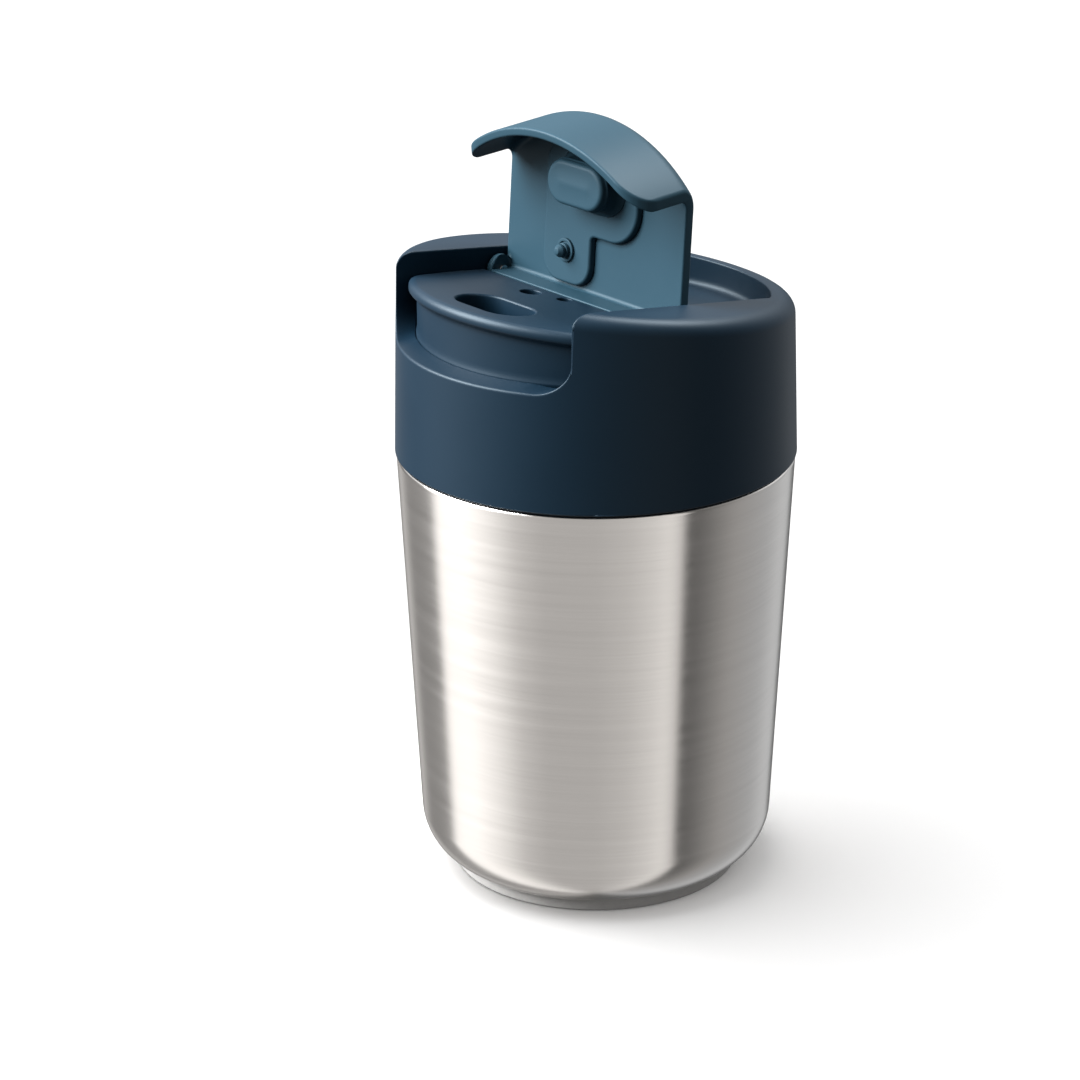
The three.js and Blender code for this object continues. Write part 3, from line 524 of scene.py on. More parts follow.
# ---------------------------------------------------------------------------
# Foot pad: dark silicone moulded to the steel's round corner and stuck on, so that the mug
# stands quietly. It stands on an outer ring, and shows as a narrow dark band.

foot_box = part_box("foot_pad")
foot_radius = foot_box[1].x / MM
foot_top = shell_low - 0.05
foot_edge = 0.6
corner_start = foot_corner - foot_round + foot_edge
follow = np.linspace(corner_start, foot_radius, 12)
under_corner = np.stack([
    follow,
    foot_top + foot_round - np.sqrt(foot_round**2 - (follow - corner_start)**2),
], 1)
foot_silicone = patterned("foot_silicone", (0.22, 0.216, 0.21), (0.3, 0.295, 0.288), 0.6, 900, 0.25)
make_piece("foot_pad_moulded", [turned(np.concatenate([
    [(0, 0.5), (23, 0.5)],
    [(23.5, 0), (foot_radius - foot_edge, 0), (foot_radius - 0.2, 0.2), (foot_radius, foot_edge)],
    under_corner[::-1],
    [(0, foot_top)],
]))], foot_silicone, "cup", ["foot_pad"])

# ---------------------------------------------------------------------------
# Gasket: a silicone ring with two soft lips, held in a groove of the lid's plug, that
# seals in the mouth of the liner.

gasket_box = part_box("lid_gasket")
gasket_low, gasket_high = gasket_box[0].z / MM, gasket_box[1].z / MM
gasket_middle = (gasket_low + gasket_high) / 2
gasket_radius = gasket_box[1].x / MM
gasket_inner = 35.4
gasket_band = (gasket_inner + gasket_radius) / 2
make_piece("gasket_ring", [turned(rounded([
    (gasket_inner, gasket_low),
    (gasket_radius, gasket_low, 0.3),
    (gasket_band, gasket_middle, 0.3),
    (gasket_radius, gasket_high, 0.3),
    (gasket_inner, gasket_high),
], 6))], foot_silicone, "gasket", ["lid_gasket"])

# ---------------------------------------------------------------------------
# Collar: one moulding in satin navy plastic. Outside it is a slightly leaning round wall whose
# top slopes up to the front; a well is sunk into it, open to the front as a notch for the cap's
# lip. The edge of the well is rounded by half a millimetre and catches the light.

collar_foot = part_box("collar")[0].z / MM
collar_radius = 43.0
collar_draft = 0.0243
top_plane = collar_foot + 38.5  # on the axis
top_slope = 0.147  # rise towards the front
top_round = 3.5
well_half = 28.0
rear_well = 36.8
well_floor = collar_foot + 26.8
floor_under = well_floor - 2.4
sill = collar_foot + 25.6
notch_round = 6.5
skirt_inner = 40.6
weld_step = collar_foot + 19.7
bore_radius = 38.7
drum_half = 27.7
drum_front = 37.8
drum_corner = 5.0
joints = {joint["name"]: joint for joint in frame["record"]["behaviour"]["joints"]}
hinge = Vector((0, -3.9, joints["flip_hinge"]["pos_m"][2] / MM))
drum_rear = hinge.y - 3.5


def lid_skin(theta, w, inset=0.0, drop=0.0, corner=top_round):
    """Outside of the lid at angle theta from the front. w runs 0-1 up the leaning wall, 1-2 over
    the rounding, and 2-3 across the sloping deck to the axis. The slope lifts a point by its
    distance to the front times top_slope, from nothing at the foot of the wall."""
    plane = top_plane - drop
    upper = collar_radius - inset - collar_draft * (plane - corner - collar_foot)
    wall = np.clip(w, 0, 1)
    bend = np.clip(w - 1, 0, 1) * pi / 2
    deck = np.clip(w - 2, 0, 1)
    radius = (collar_radius - inset) * (1 - wall) + upper * wall
    radius = radius - corner * (1 - np.cos(bend))
    radius = radius * (1 - deck)
    rise = collar_foot + (plane - corner - collar_foot) * wall + corner * np.sin(bend)
    x = radius * np.sin(theta)
    y = -radius * np.cos(theta)
    return np.stack(np.broadcast_arrays(x, y, rise - top_slope * y * wall), -1)


def skin_w(x, z, inset=0.0):
    """(theta, w) of the point of the lid's wall with a given x and height, by repeated correction."""
    w = np.full(np.shape(x), 0.75)
    for _ in range(6):
        radius = collar_radius - inset - collar_draft * (top_plane - top_round - collar_foot) * w
        theta = np.arcsin(np.clip(x / radius, -1, 1))
        high = top_plane - top_round - collar_foot + top_slope * radius * np.cos(theta)
        w = (z - collar_foot) / high
    return theta, w


def unit(vectors):
    return vectors / np.maximum(np.linalg.norm(vectors, axis=-1, keepdims=True), 1e-9)


def soft_corner(before, corner, after, reach, steps=6):
    """Rows that turn the corner between two directions: a quadratic curve from reach before the
    corner to reach after it, with the corner as its middle control point."""
    share = np.linspace(0, 1, steps + 1)[:, None, None]
    start = corner + unit(before - corner) * reach
    end = corner + unit(after - corner) * reach
    return (1 - share)**2 * start + 2 * share * (1 - share) * corner + share**2 * end


def between(start, end, steps):
    """Rows spread evenly from start to end, without either of them."""
    share = np.linspace(0, 1, steps + 2)[1:-1, None, None]
    return start * (1 - share) + end * share


def front_line(x, half, front, corner):
    """y of the drum's plan at x: a front arc about the axis, met by a small corner arc."""
    centre_x = half - corner
    centre_y = -np.sqrt((front - corner)**2 - centre_x**2)
    tangent_x = front * centre_x / (front - corner)
    inside = np.minimum(x, tangent_x)
    arc = -np.sqrt(front**2 - inside**2)
    turn = centre_y - np.sqrt(np.maximum(corner**2 - (np.maximum(x, tangent_x) - centre_x)**2, 0))
    return np.where(x <= tangent_x, arc, turn)


gap = 0.3
hole_half = drum_half + gap
hole_front = drum_front + gap
hole_corner = drum_corner + gap
hole_rear = drum_rear + gap
hole_side = -np.sqrt((hole_front - hole_corner)**2 - (hole_half - hole_corner)**2)

# The edge of the well from the middle of the front to the middle of the back, right-hand side.
sill_x = np.linspace(0, well_half - notch_round, 40, endpoint=False)
corner_turn = np.linspace(0, pi / 2, 22, endpoint=False)
corner_x = well_half - notch_round + notch_round * np.sin(corner_turn)
corner_z = sill + notch_round * (1 - np.cos(corner_turn))
front_x = np.concatenate([sill_x, corner_x])
front_z = np.concatenate([np.full(len(sill_x), sill), corner_z])
front_theta, front_w = skin_w(front_x, front_z)
side_start = skin_w(np.array(well_half), np.array(sill + notch_round))[1]
side_w = np.concatenate([
    np.linspace(side_start, 1, 10, endpoint=False),
    np.linspace(1, 2, 14, endpoint=False),
])
side_radius = np.linalg.norm(lid_skin(0, side_w)[:, :2], axis=1)
side_theta = np.arcsin(well_half / side_radius)
deck_radius = np.linalg.norm(lid_skin(0, np.array(2.0))[:2])
chord_start = -np.sqrt(deck_radius**2 - well_half**2)
rear_corner = 1.5
chord_corner = rounded([
    (well_half, chord_start), (well_half, np.sqrt(rear_well**2 - well_half**2), rear_corner), (20, 30.2),
], 8)[1:-1]
chord_y = np.linspace(chord_start, chord_corner[0, 1], 80, endpoint=False)
rear_turn = np.linspace(np.arctan2(chord_corner[-1, 0], -chord_corner[-1, 1]), pi, 50)[1:]
chord_x = np.concatenate([np.full(80, well_half), chord_corner[:, 0], rear_well * np.sin(rear_turn)])
chord_y = np.concatenate([chord_y, chord_corner[:, 1], -rear_well * np.cos(rear_turn)])
deck_theta = np.arctan2(chord_x, -chord_y)
deck_w = 3 - np.hypot(chord_x, chord_y) / deck_radius

edge_theta = np.concatenate([front_theta, side_theta, deck_theta])
edge_w = np.concatenate([front_w, side_w, deck_w])
edge = lid_skin(edge_theta, edge_w)
count = len(edge)
n_front, n_side = len(front_x), len(side_w)

# Where each column goes after the edge: to the drum's outline in front and at the sides, and
# down the wall of the well and across its floor behind the drum.
landing = edge.copy()
landing[:n_front, 1] = front_line(front_x, hole_half, hole_front, hole_corner)
ledge_rise = 0.9 * np.clip((well_half - notch_round + 3 - front_x) / 6, 0, 1)
landing[:n_front, 2] += ledge_rise
side_share = np.linspace(0, 1, n_side)
landing[n_front:n_front + n_side, 1] = hole_side + 1.2 * side_share
landing[n_front:n_front + n_side, 2] = (sill + notch_round) * (1 - side_share) + well_floor * side_share
beside_drum = (np.arange(count) >= n_front + n_side) & (edge[:, 1] < hole_rear)
behind = (np.arange(count) >= n_front + n_side) & ~beside_drum
beside_share = (edge[beside_drum, 1] - chord_start) / (hole_rear - chord_start)
landing[beside_drum, 1] = (hole_side + 1.2) * (1 - beside_share) + hole_rear * beside_share
landing[beside_drum, 2] = well_floor
landing[behind, 2] = well_floor
rim = landing.copy()
behind_share = np.linspace(0, 1, behind.sum())
rim[behind, 0] = hole_half * (1 - behind_share)
rim[behind, 1] = hole_rear
rim[~behind, 2] -= 0.5
rim_low = rim.copy()
rim_low[:, 2] = floor_under

# The outer skin below the edge, with a column for each point of the edge.
foot_theta = np.linspace(0, pi, count)
first_break = np.minimum(1, 0.94 * edge_w)
second_break = np.minimum(2, 0.97 * edge_w)
rows_w = np.concatenate([
    np.linspace(0.012, 1, 14)[:, None] * first_break,
    first_break + np.linspace(0, 1, 9)[1:, None] * (second_break - first_break),
    second_break + np.linspace(0, 1, 7)[1:, None] * (edge_w - second_break),
])
share_up = rows_w / edge_w
rows_theta = foot_theta + (edge_theta - foot_theta) * share_up
skin = lid_skin(rows_theta, rows_w)
along_edge = unit(np.gradient(edge, axis=0))
along_edge[0] = (1, 0, 0)
along_edge[-1] = (-1, 0, 0)
nudge = 1e-3
nearby_up = lid_skin(edge_theta, edge_w - nudge) - edge
nearby_across = lid_skin(edge_theta + nudge, edge_w) - edge
outward = unit(np.cross(nearby_up, nearby_across))
into_skin = unit(np.cross(outward, along_edge))
towards_skin = np.sign(np.sum(into_skin * (skin[-4] - edge), -1, keepdims=True))
into_skin = into_skin * towards_skin
edge_reach = 0.55
skin = skin + (share_up**30)[..., None] * edge_reach * into_skin
edge_rows = soft_corner(edge + into_skin, edge, landing, edge_reach, 6)

floor_width = np.linalg.norm(rim - landing, axis=1)
floor_reach = np.where(behind, np.minimum(1.8, 0.45 * floor_width), 0.35)[:, None]
floor_rows = soft_corner(edge, landing, np.where(behind[:, None], rim, rim_low), floor_reach, 6)
rim_rows = np.stack([rim, rim_low])
circle = np.stack([np.sin(foot_theta), -np.cos(foot_theta), 0 * foot_theta], -1)


def ring_at(radius, height):
    return circle * radius + np.array((0, 0, height))


under_rows = [ring_at(bore_radius, floor_under), ring_at(bore_radius, weld_step)]
under_rows += [ring_at(skirt_inner, weld_step), ring_at(skirt_inner, collar_foot + 0.5)]
foot_rows = soft_corner(ring_at(skirt_inner, collar_foot + 1), ring_at(skirt_inner, collar_foot),
                        ring_at(collar_radius, collar_foot), 0.4, 4)
foot_outer = soft_corner(ring_at(skirt_inner, collar_foot), ring_at(collar_radius, collar_foot),
                         ring_at(collar_radius, collar_foot + 1), 0.4, 4)
half = np.concatenate([
    skin, edge_rows[1:], between(edge_rows[-1], floor_rows[0], 3), floor_rows, rim_rows,
    np.stack(under_rows), foot_rows, foot_outer,
])
mirrored = half[:, -2:0:-1] * np.array((-1, 1, 1))
collar_grid = np.concatenate([half, mirrored], 1)


def moulded_surface_group():
    """Moulded plastic: a very fine grain for the bump, a broad cloudiness for colour and gloss, and
    sparse specks of dust. Specks is a 0-1 mask."""
    group, given, made = new_group(
        "moulded_surface",
        [("Grain Scale", 5200), ("Cloud Scale", 42), ("Speck Scale", 900), ("Speck Share", 0.1)],
        [("Grain", "NodeSocketFloat"), ("Cloud", "NodeSocketFloat"), ("Specks", "NodeSocketFloat")],
    )
    place = add_node(group, "ShaderNodeTexCoord").outputs["Object"]

    def texture(kind, scale, **values):
        return add_node(group, kind, {"Vector": place, "Scale": given.outputs[scale]}, **values)

    grain = texture("ShaderNodeTexNoise", "Grain Scale", Detail=2)
    cloud = texture("ShaderNodeTexNoise", "Cloud Scale", Detail=4)
    cell = texture("ShaderNodeTexVoronoi", "Speck Scale")
    speck_ends = {"Value": cell.outputs["Distance"], "From Max": given.outputs["Speck Share"]}
    speck = add_node(group, "ShaderNodeMapRange", speck_ends, To_Min=1, To_Max=0)
    for label, node in (("Grain", grain), ("Cloud", cloud), ("Specks", speck)):
        group.links.new(node.outputs[0], made.inputs[label])
    return group


moulded_surface = moulded_surface_group()


def moulded(name, colour, spread, roughness, grain_scale, bump, specks=0.0, shine=0.25):
    """Moulded plastic or silicone: colour a little lighter and darker by cloud, specks lighter,
    gloss broken by cloud, and a bump from the grain."""
    material, tree, shader = new_material(name, Specular_IOR_Level=shine, Specular_Tint=(0.7, 0.88, 1, 1))
    surface = add_node(tree, "ShaderNodeGroup", node_tree=moulded_surface)
    surface.inputs["Grain Scale"].default_value = grain_scale
    surface.inputs["Speck Share"].default_value = specks
    cloud = surface.outputs["Cloud"]
    shade = blend(tree, cloud, [c * (1 - spread) for c in colour], [c * (1 + spread) for c in colour])
    dusty = add_node(tree, "ShaderNodeMix", {0: surface.outputs["Specks"], 6: shade}, data_type="RGBA")
    dusty.inputs[7].default_value = (*(c * 1.25 + 0.01 for c in colour), 1)
    dress(tree, shader, dusty.outputs[2], cloud, roughness * 0.88, roughness * 1.12,
          surface.outputs["Grain"], bump, 0.00002)
    return material


navy = moulded("navy_satin", (0.001, 0.0068, 0.0142), 0.1, 0.46, 5200, 0.3, 0.06, 0.19)
make_piece(
    "collar_shell",
    [(collar_grid, grid_faces(*collar_grid.shape[:2], wrap_rows=True))],
    navy, "lid", ["collar"],
)
make_piece("lid_thread", [thread_ridge(skirt_inner, -1, pi / 3, shoulder + 2.3, 1.1)],
           navy, "lid")

# ---------------------------------------------------------------------------
# Spout insert: the drum that fills the front of the well, a second navy moulding snapped in
# from below. A soft bead runs round its front edge over a shallow undercut; the sloping top
# has the long drinking hole, whose right end is scooped, and two small vents.

drum_top = top_plane - 4.8  # on the axis
drum_foot = floor_under + 0.3
cap_tilt = atan(top_slope)
spout_length, spout_width = 19.2, 11.4
spout_x = 0.5
spout_reach = 24.5
vent_x, vent_reach, vent_radius = -6.9, 8.45, 2.25
bleed_x, bleed_reach, bleed_radius = 1.0, 5.9, 1.6


def drum_outline(front, corner):
    """The drum's plan as a closed loop: rear edge, sides, corner arcs and front arc, with the same
    number of points on each whatever the radii, so that two outlines can be blended."""
    centre_x = drum_half - corner
    centre_y = -np.sqrt((front - corner)**2 - centre_x**2)
    bend = np.arctan2(centre_x, -centre_y)
    front_turn = np.linspace(0, bend, 40, endpoint=False)
    corner_arc = np.linspace(bend, pi / 2, 18, endpoint=False)
    side = np.linspace(centre_y, drum_rear - 1, 14)
    rear_arc = np.linspace(0, pi / 2, 6)[1:]
    rear_x = np.linspace(drum_half - 1, 0, 24)[1:]
    x = np.concatenate([front * np.sin(front_turn), centre_x + corner * np.sin(corner_arc),
                        np.full(14, drum_half), drum_half - 1 + np.cos(rear_arc), rear_x])
    y = np.concatenate([-front * np.cos(front_turn), centre_y - corner * np.cos(corner_arc),
                        side, drum_rear - 1 + np.sin(rear_arc), np.full(23, drum_rear)])
    outline = np.stack([x, y], 1)
    return np.concatenate([outline, outline[-2:0:-1] * np.array((-1, 1))])


def outward_normals(outline):
    """Unit normals of a closed anticlockwise loop, from the chord between each point's neighbours."""
    chord = np.roll(outline, -1, 0) - np.roll(outline, 1, 0)
    return unit(np.stack([chord[:, 1], -chord[:, 0]], 1))


def long_hole(x, y, length, width, steps=20):
    """A loop of two half circles joined by straight sides along X, with extra points on the
    sides, or a plain circle where length and width agree."""
    reach = max(length - width, 0) / 2
    arc = np.linspace(-pi / 2, pi / 2, steps)
    right = np.stack([x + reach + width / 2 * np.cos(arc), y + width / 2 * np.sin(arc)], 1)
    left = np.stack([x - reach - width / 2 * np.cos(arc), y - width / 2 * np.sin(arc)], 1)
    if reach == 0:
        return np.concatenate([right[:-1], left[:-1]])
    side = np.linspace(1, -1, 10)[1:-1]
    upper = np.stack([x + reach * side, np.full(8, y + width / 2)], 1)
    lower = np.stack([x - reach * side, np.full(8, y - width / 2)], 1)
    return np.concatenate([right, upper, left, lower])


def flat_with_holes(outer, holes):
    """Triangles of a flat face between an outer loop and the loops of its holes."""
    loops = [outer] + holes
    triangles = tessellate_polygon([[Vector(point) for point in loop] for loop in loops])
    return np.concatenate(loops), [list(triangle) for triangle in triangles]


def on_slope(plan, drop=0.0):
    """Plan points lifted to the drum's sloping top, lowered by drop."""
    height = drum_top - drop - top_slope * plan[..., 1]
    return np.concatenate([plan, np.broadcast_to(height, plan.shape[:-1])[..., None]], -1)


def at_height(plan, height):
    return np.concatenate([plan, np.full((*plan.shape[:-1], 1), float(height))], -1)


bead_front = 39.5
wall_line = drum_outline(drum_front, drum_corner)
bead_line = drum_outline(bead_front, drum_corner)
wall_normal = outward_normals(wall_line)
bead_normal = outward_normals(bead_line)
frontness = np.clip((-wall_line[:, 1] - 16) / 9, 0, 1)[:, None]
foot_flare = [(0.28, -0.3), (0.28, 0.0), (0.26, 0.12), (0.14, 0.45), (0.04, 1.0), (0.0, 1.7)]
undercut = [(4.2, 0.0), (3.8, 0.03), (3.4, 0.14), (3.05, 0.38), (2.75, 0.68), (2.45, 0.9), (2.2, 1.0)]
ledge = sill + 0.9
drum_rows = [at_height(wall_line, drum_foot)]
drum_rows += [at_height(wall_line + wall_normal * out * frontness, ledge + up) for out, up in foot_flare]
for drop, share in undercut:
    drum_rows.append(on_slope(wall_line * (1 - share) + bead_line * share, drop))
edge_size = 0.5 + 1.3 * frontness
for bend in np.linspace(0, pi / 2, 9):
    inset = edge_size * (1 - np.cos(bend))
    drum_rows.append(on_slope(bead_line - bead_normal * inset, edge_size[:, 0] * (1 - np.sin(bend))))
drum_rows = np.stack(drum_rows)

spout_y = hinge.y - spout_reach * cos(cap_tilt)
vent_y = hinge.y - vent_reach * cos(cap_tilt)
bleed_y = hinge.y - bleed_reach * cos(cap_tilt)


def passage(x, y, length, width, soft, low_x, low_length, low_width):
    """A hole through the drum: a rim rounded by soft, then a wall that goes straight down for a
    share of the way, clear of the stopper, and narrows from there to a lower loop."""
    straight = 0.45
    upper = long_hole(x, y, length, width)
    wide = long_hole(x, y, length + 2 * soft, width + 2 * soft)
    lower = long_hole(low_x, y, low_length, low_width)
    rows = [on_slope(wide)]
    for bend in np.linspace(0, pi / 2, 7)[1:]:
        ring = upper + (wide - upper) * (1 - np.sin(bend))
        rows.append(on_slope(ring, soft * (1 - np.cos(bend))))
    top = on_slope(upper, soft)[:, 2:]
    for share in np.linspace(0, 1, 12)[1:]:
        narrowing = max(0, share - straight) / (1 - straight)
        ring = upper * (1 - narrowing) + lower * narrowing
        height = top * (1 - share) + drum_foot * share
        rows.append(np.concatenate([ring, height], 1))
    return np.stack(rows)


def round_passage(x, y, radius, soft):
    return passage(x, y, 2 * radius, 2 * radius, soft, x, 2 * radius, 2 * radius)


passages = [
    passage(spout_x, spout_y, spout_length, spout_width, 0.55,
            spout_x - 3.6, spout_length - 7.5, spout_width - 1),
    round_passage(vent_x, vent_y, vent_radius, 0.3),
    round_passage(bleed_x, bleed_y, bleed_radius, 0.2),
]
drum_parts = [(drum_rows, grid_faces(*drum_rows.shape[:2]))]
drum_parts += [(rows, grid_faces(*rows.shape[:2])) for rows in passages]
drum_parts.append(flat_with_holes(drum_rows[-1], [rows[0] for rows in passages]))
drum_parts.append(flat_with_holes(drum_rows[0], [rows[-1] for rows in passages]))
make_piece("spout_drum", drum_parts, navy, "lid", ["spout_insert"])

clear_silicone = moulded("clear_silicone", (0.5, 0.52, 0.53), 0.06, 0.5, 3000, 0.2)
finish_node("lid_base", navy)
finish_node("spout_seal", clear_silicone)
finish_node("vent_seal", clear_silicone)

# ---------------------------------------------------------------------------
# Hinge pins: two short lengths of drawn stainless wire pressed into the walls of the well.

pin_steel = patterned("pin_steel", (0.5, 0.5, 0.5), (0.7, 0.7, 0.7),
                      0.25, 900, 0.3, 1, 0.00003, (0.1, 1, 1))
finish_node("hinge_pin_left", pin_steel)
finish_node("hinge_pin_right", pin_steel)

# ---------------------------------------------------------------------------
# Flip cap: a lighter blue moulding that carries on the lid's own outline when it is shut. A flat
# plate turns down into a lip at its free end, and into a barrel with two ears at the hinge.
# It is worked out shut and then stood open about the hinge.

cap_half = well_half - 0.4
cap_wall = 2.2
lip_wall = 1.9
lip_inset = 0.1
lip_sill = collar_foot + 26.4
lip_corner = notch_round - 0.4
barrel = 3.2
ear_inner = cap_half - 1.5
open_turn = radians(85.6)
heel_height = 4.73 * cos(cap_tilt)
lip_edge = 0.6
cap_under = heel_height - cap_wall

middle_x = np.linspace(0, cap_half - lip_corner, 26, endpoint=False)
bend_x = cap_half - lip_corner + lip_corner * np.sin(np.linspace(0, pi / 2, 16))
bend_x = bend_x[bend_x < cap_half - 0.5]
columns_x = np.unique(np.concatenate([middle_x, bend_x, [ear_inner, ear_inner + 0.02]]))
end_bend = np.linspace(0, pi / 2, 6)
end_round = 0.45
columns_x = np.concatenate([columns_x, cap_half - end_round * (1 - np.sin(end_bend))])
columns_inset = np.concatenate([np.zeros(len(columns_x) - 6), end_round * (1 - np.cos(end_bend))])


def near_hinge(angle, radius):
    """Points round the hinge axis in the shut cap's own tilt: angle 90 degrees is the plate's top."""
    y = radius * np.cos(angle)
    z = radius * np.sin(angle)
    return np.stack([
        hinge.y + y * np.cos(cap_tilt) + z * np.sin(cap_tilt),
        hinge.z - y * np.sin(cap_tilt) + z * np.cos(cap_tilt),
    ], -1)


def cap_section(x, inset):
    """The cap's closed outline in the YZ plane at x: up the lip outside, over the rounding, back
    along the plate, round the heel, and forward again underneath to the lip's edge. inset pulls
    the outline in along its normals."""
    past = min(max(x - (cap_half - lip_corner), 0), lip_corner - 0.02)
    low = lip_sill + lip_corner - np.sqrt(lip_corner**2 - past**2)

    def skin_line(extra, drop, corner, to_y):
        start = skin_w(np.array(float(x)), np.array(low + lip_edge), extra)[1]
        w = np.concatenate([np.linspace(start, 1, 14), np.linspace(1, 2, 14)[1:]])
        reach = np.linalg.norm(lid_skin(0, w, extra, drop, corner)[:, :2], axis=-1)
        line = lid_skin(np.arcsin(np.clip(x / reach, -1, 1)), w, extra, drop, corner)[:, 1:]
        y = np.linspace(line[-1, 0], to_y, 24)[1:]
        return np.concatenate([line, np.stack([y, top_plane - drop - top_slope * y], -1)])

    def lip_foot(extra):
        theta, w = skin_w(np.array(float(x)), np.array(low), extra)
        return lid_skin(theta, w, extra)[1:]

    outer = skin_line(lip_inset, 0, top_round, hinge.y)
    inner = skin_line(lip_inset + lip_wall, cap_wall / cos(cap_tilt),
                      top_round - lip_wall, hinge.y - 3.4)[::-1]
    heel_turn = np.linspace(pi / 2, -pi / 2, 28)[1:]
    heel = near_hinge(heel_turn, barrel + (heel_height - barrel) * np.maximum(np.sin(heel_turn), 0))
    if x < ear_inner + 0.01:
        shelf = rounded([(0, -barrel), (-0.3, -barrel, 0.28), (-0.3, cap_under, 0.9), (-3.2, cap_under)])
    else:
        turn = np.linspace(-pi / 2, -pi - np.arcsin(cap_under / barrel), 19)
        shelf = np.append(barrel * np.stack([np.cos(turn), np.sin(turn)], 1), [(-3.2, cap_under)], 0)
    shelf = near_hinge(np.arctan2(shelf[:, 1], shelf[:, 0]), np.hypot(shelf[:, 0], shelf[:, 1]))[1:]
    outer_foot, inner_foot = lip_foot(lip_inset), lip_foot(lip_inset + lip_wall)
    inner_edge = soft_corner(inner[-1], inner_foot[None], outer_foot, lip_edge, 5)[:, 0]
    outer_edge = soft_corner(inner_foot, outer_foot[None], outer[0], lip_edge, 5)[:, 0]
    section = np.concatenate([outer, heel, shelf, inner[:-1], inner_edge, outer_edge[:-1]])
    return section + outward_normals(section) * inset


sections = np.stack([cap_section(x, inset) for x, inset in zip(columns_x, columns_inset)])
half_cap = np.concatenate([np.repeat(columns_x[:, None, None], sections.shape[1], 1), sections], -1)
cap_grid = np.concatenate([half_cap[:0:-1] * np.array((-1, 1, 1)), half_cap])


def stand_open(points, turn=open_turn):
    """Shut points turned up about the hinge axis."""
    y = points[..., 1] - hinge.y
    z = points[..., 2] - hinge.z
    return np.stack([
        points[..., 0],
        hinge.y + y * np.cos(turn) + z * np.sin(turn),
        hinge.z - y * np.sin(turn) + z * np.cos(turn),
    ], -1)


cap_grid = stand_open(cap_grid)
cap_blue = moulded("cap_blue", (0.0085, 0.024, 0.0355), 0.05, 0.48, 5200, 0.3, 0.05, 0.12)
make_piece("flip_cap_moulded", [
    (cap_grid, grid_faces(*cap_grid.shape[:2])),
    flat_with_holes(cap_grid[0], []),
    flat_with_holes(cap_grid[-1], []),
], cap_blue, "flip", ["flip_cap"])

# ---------------------------------------------------------------------------
# Seal pad: a P-shaped skin of soft silicone moulded onto the underside of the plate. Its leg
# covers the vents and its lobe carries the drinking stopper.

pad_face = cap_under - 0.3 - 1.15
pad_left, pad_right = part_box("seal_pad")[0].x / MM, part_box("seal_pad")[1].x / MM
leg_right, pad_start, pad_step = 0.5, 1.2, 12.8
past_upright = radians(3.96)  # how far the open plate leans back
pad_end = (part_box("seal_pad")[1].z / MM - hinge.z) / cos(past_upright) - 0.05
pad_outline = rounded([
    (pad_left, -pad_start, 5), (pad_left, -pad_end, 8), (pad_right, -pad_end, 8),
    (pad_right, -pad_step, 8), (leg_right, -pad_step, 1.2), (leg_right, -pad_start, 5),
], 14)
pad_normal = outward_normals(pad_outline)


def on_cap(points):
    """Points drawn on the plate's underside (across, minus the distance from the hinge, height over
    the hinge axis) carried to the cap where it stands open."""
    placed = points + np.array((0, hinge.y, hinge.z))
    return stand_open(placed, cap_tilt + open_turn)


pad_round = 0.7
pad_rows = [
    at_height(pad_outline + pad_normal * 0.22, cap_under),
    at_height(pad_outline, cap_under - 0.3),
]
for bend in np.linspace(0, pi / 2, 8):
    ring = pad_outline - pad_normal * pad_round * (1 - np.cos(bend))
    pad_rows.append(at_height(ring, pad_face + pad_round * (1 - np.sin(bend))))
pad_rows = on_cap(np.stack(pad_rows))
soft_blue = moulded("soft_blue_silicone", (0.0085, 0.024, 0.0355), 0.07, 0.58, 3600, 0.3, 0.12, 0.12)
make_piece("seal_pad_soft", [
    (pad_rows, grid_faces(*pad_rows.shape[:2])),
    flat_with_holes(pad_rows[0], []),
    flat_with_holes(pad_rows[-1], []),
], soft_blue, "flip", ["seal_pad"])

# ---------------------------------------------------------------------------
# Drinking stopper: a pill of the same silicone on a thin flange, with a crowned face and a
# generously rounded edge, that fills the drinking hole when the cap is shut.

pill_length, pill_width = spout_length - 0.4, spout_width - 0.4
pill_foot = pad_face - 5.75
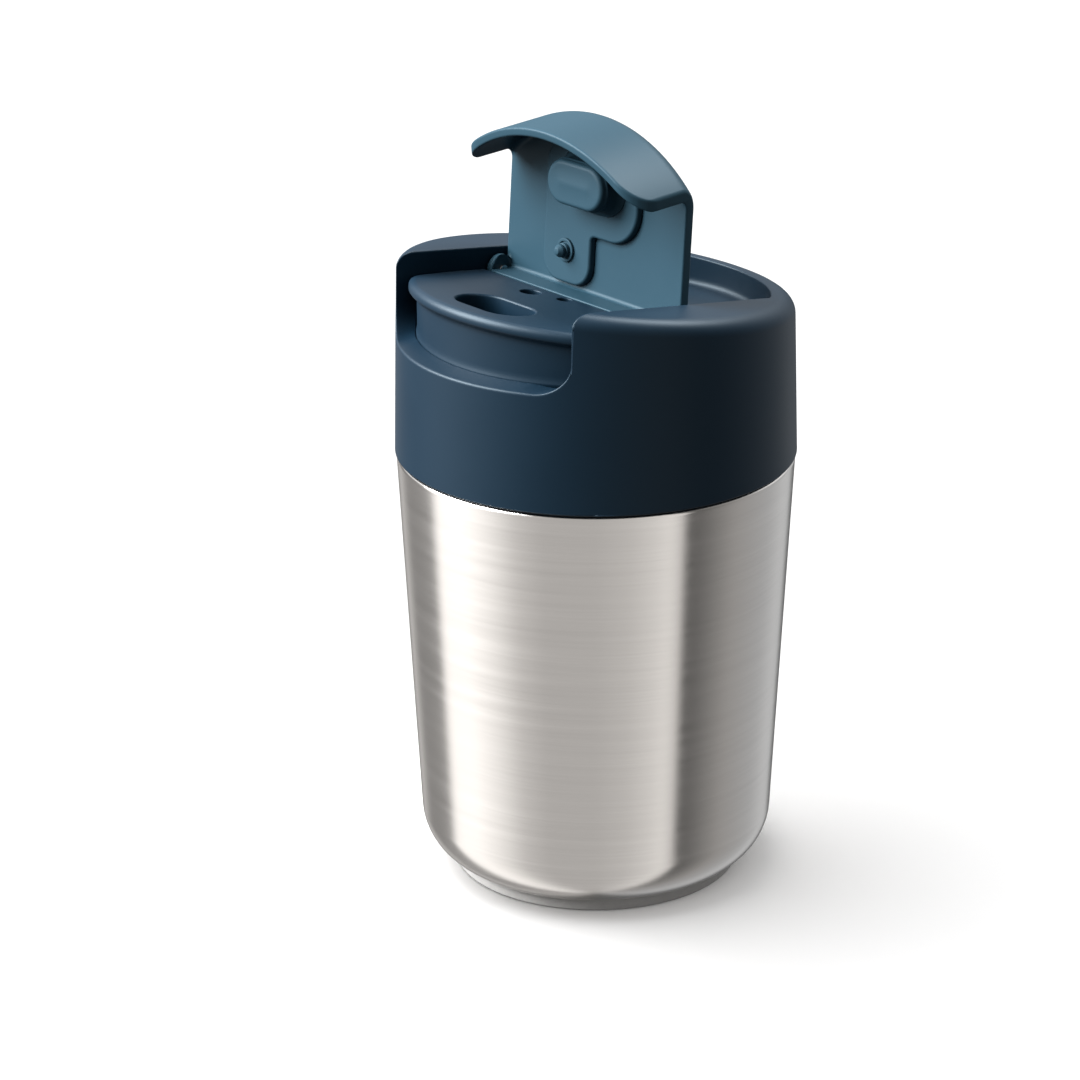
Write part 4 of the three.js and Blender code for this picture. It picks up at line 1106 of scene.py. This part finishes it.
# The stopper's side as (outwards, height): flange, waist, a raised bead, the rounded edge, the crown.
pill_steps = [
    (1.0, pad_face + 0.02), (0.75, pad_face - 0.1), (0.25, pad_face - 0.35),
    (-0.2, pad_face - 0.7), (-0.6, pad_face - 1.1), (-0.66, pad_face - 3.2),
]
for bend in np.linspace(0.2, pi - 0.2, 8):
    pill_steps.append((-0.66 + 0.22 * sin(bend), pad_face - 3.75 + 0.4 * cos(bend)))
pill_steps.append((-0.7, pad_face - 4.3))
for bend in np.linspace(0.15, pi / 2, 8):
    pill_steps.append((-0.72 - (1 - cos(bend)), pill_foot + 1.2 - sin(bend)))
for share in np.linspace(0, 1, 8)[1:]:
    pill_steps.append((-1.72 - (pill_width / 2 - 1.72) * share, pill_foot + 0.2 * (1 - share**2)))
pill_rows = np.stack([
    at_height(long_hole(spout_x, -spout_reach, pill_length + 2 * out, pill_width + 2 * out), height)
    for out, height in pill_steps
])
pill_rows = on_cap(pill_rows)
make_piece("drinking_stopper", [
    (pill_rows, grid_faces(*pill_rows.shape[:2])),
    flat_with_holes(pill_rows[0], []),
], soft_blue, "flip", ["spout_plug"])

# ---------------------------------------------------------------------------
# Vent stopper: a small turned nipple of the same silicone with a base ring, a groove and a
# rounded cone that finds the vent.

nipple_grid, nipple_faces = turned(rounded([
    (0, pad_face + 0.02),
    (2.6, pad_face + 0.02),
    (2.5, pad_face - 0.55, 0.2),
    (1.95, pad_face - 0.55, 0.1),
    (1.8, pad_face - 0.25, 0.1),
    (1.6, pad_face - 0.3, 0.08),
    (1.6, pad_face - 1.15, 0.15),
    (1.35, pad_face - 1.2, 0.06),
    (1.2, pad_face - 1.5, 0.06),
    (1.45, pad_face - 1.6, 0.08),
    (1.35, pad_face - 2.05, 0.15),
    (0.7, pad_face - 2.85, 0.3),
    (0, pad_face - 2.95),
], 5), 64)
nipple_grid = on_cap(nipple_grid + np.array((vent_x, -vent_reach, 0)))
make_piece("vent_stopper", [(nipple_grid, nipple_faces)],
           soft_blue, "flip", ["vent_plug"])
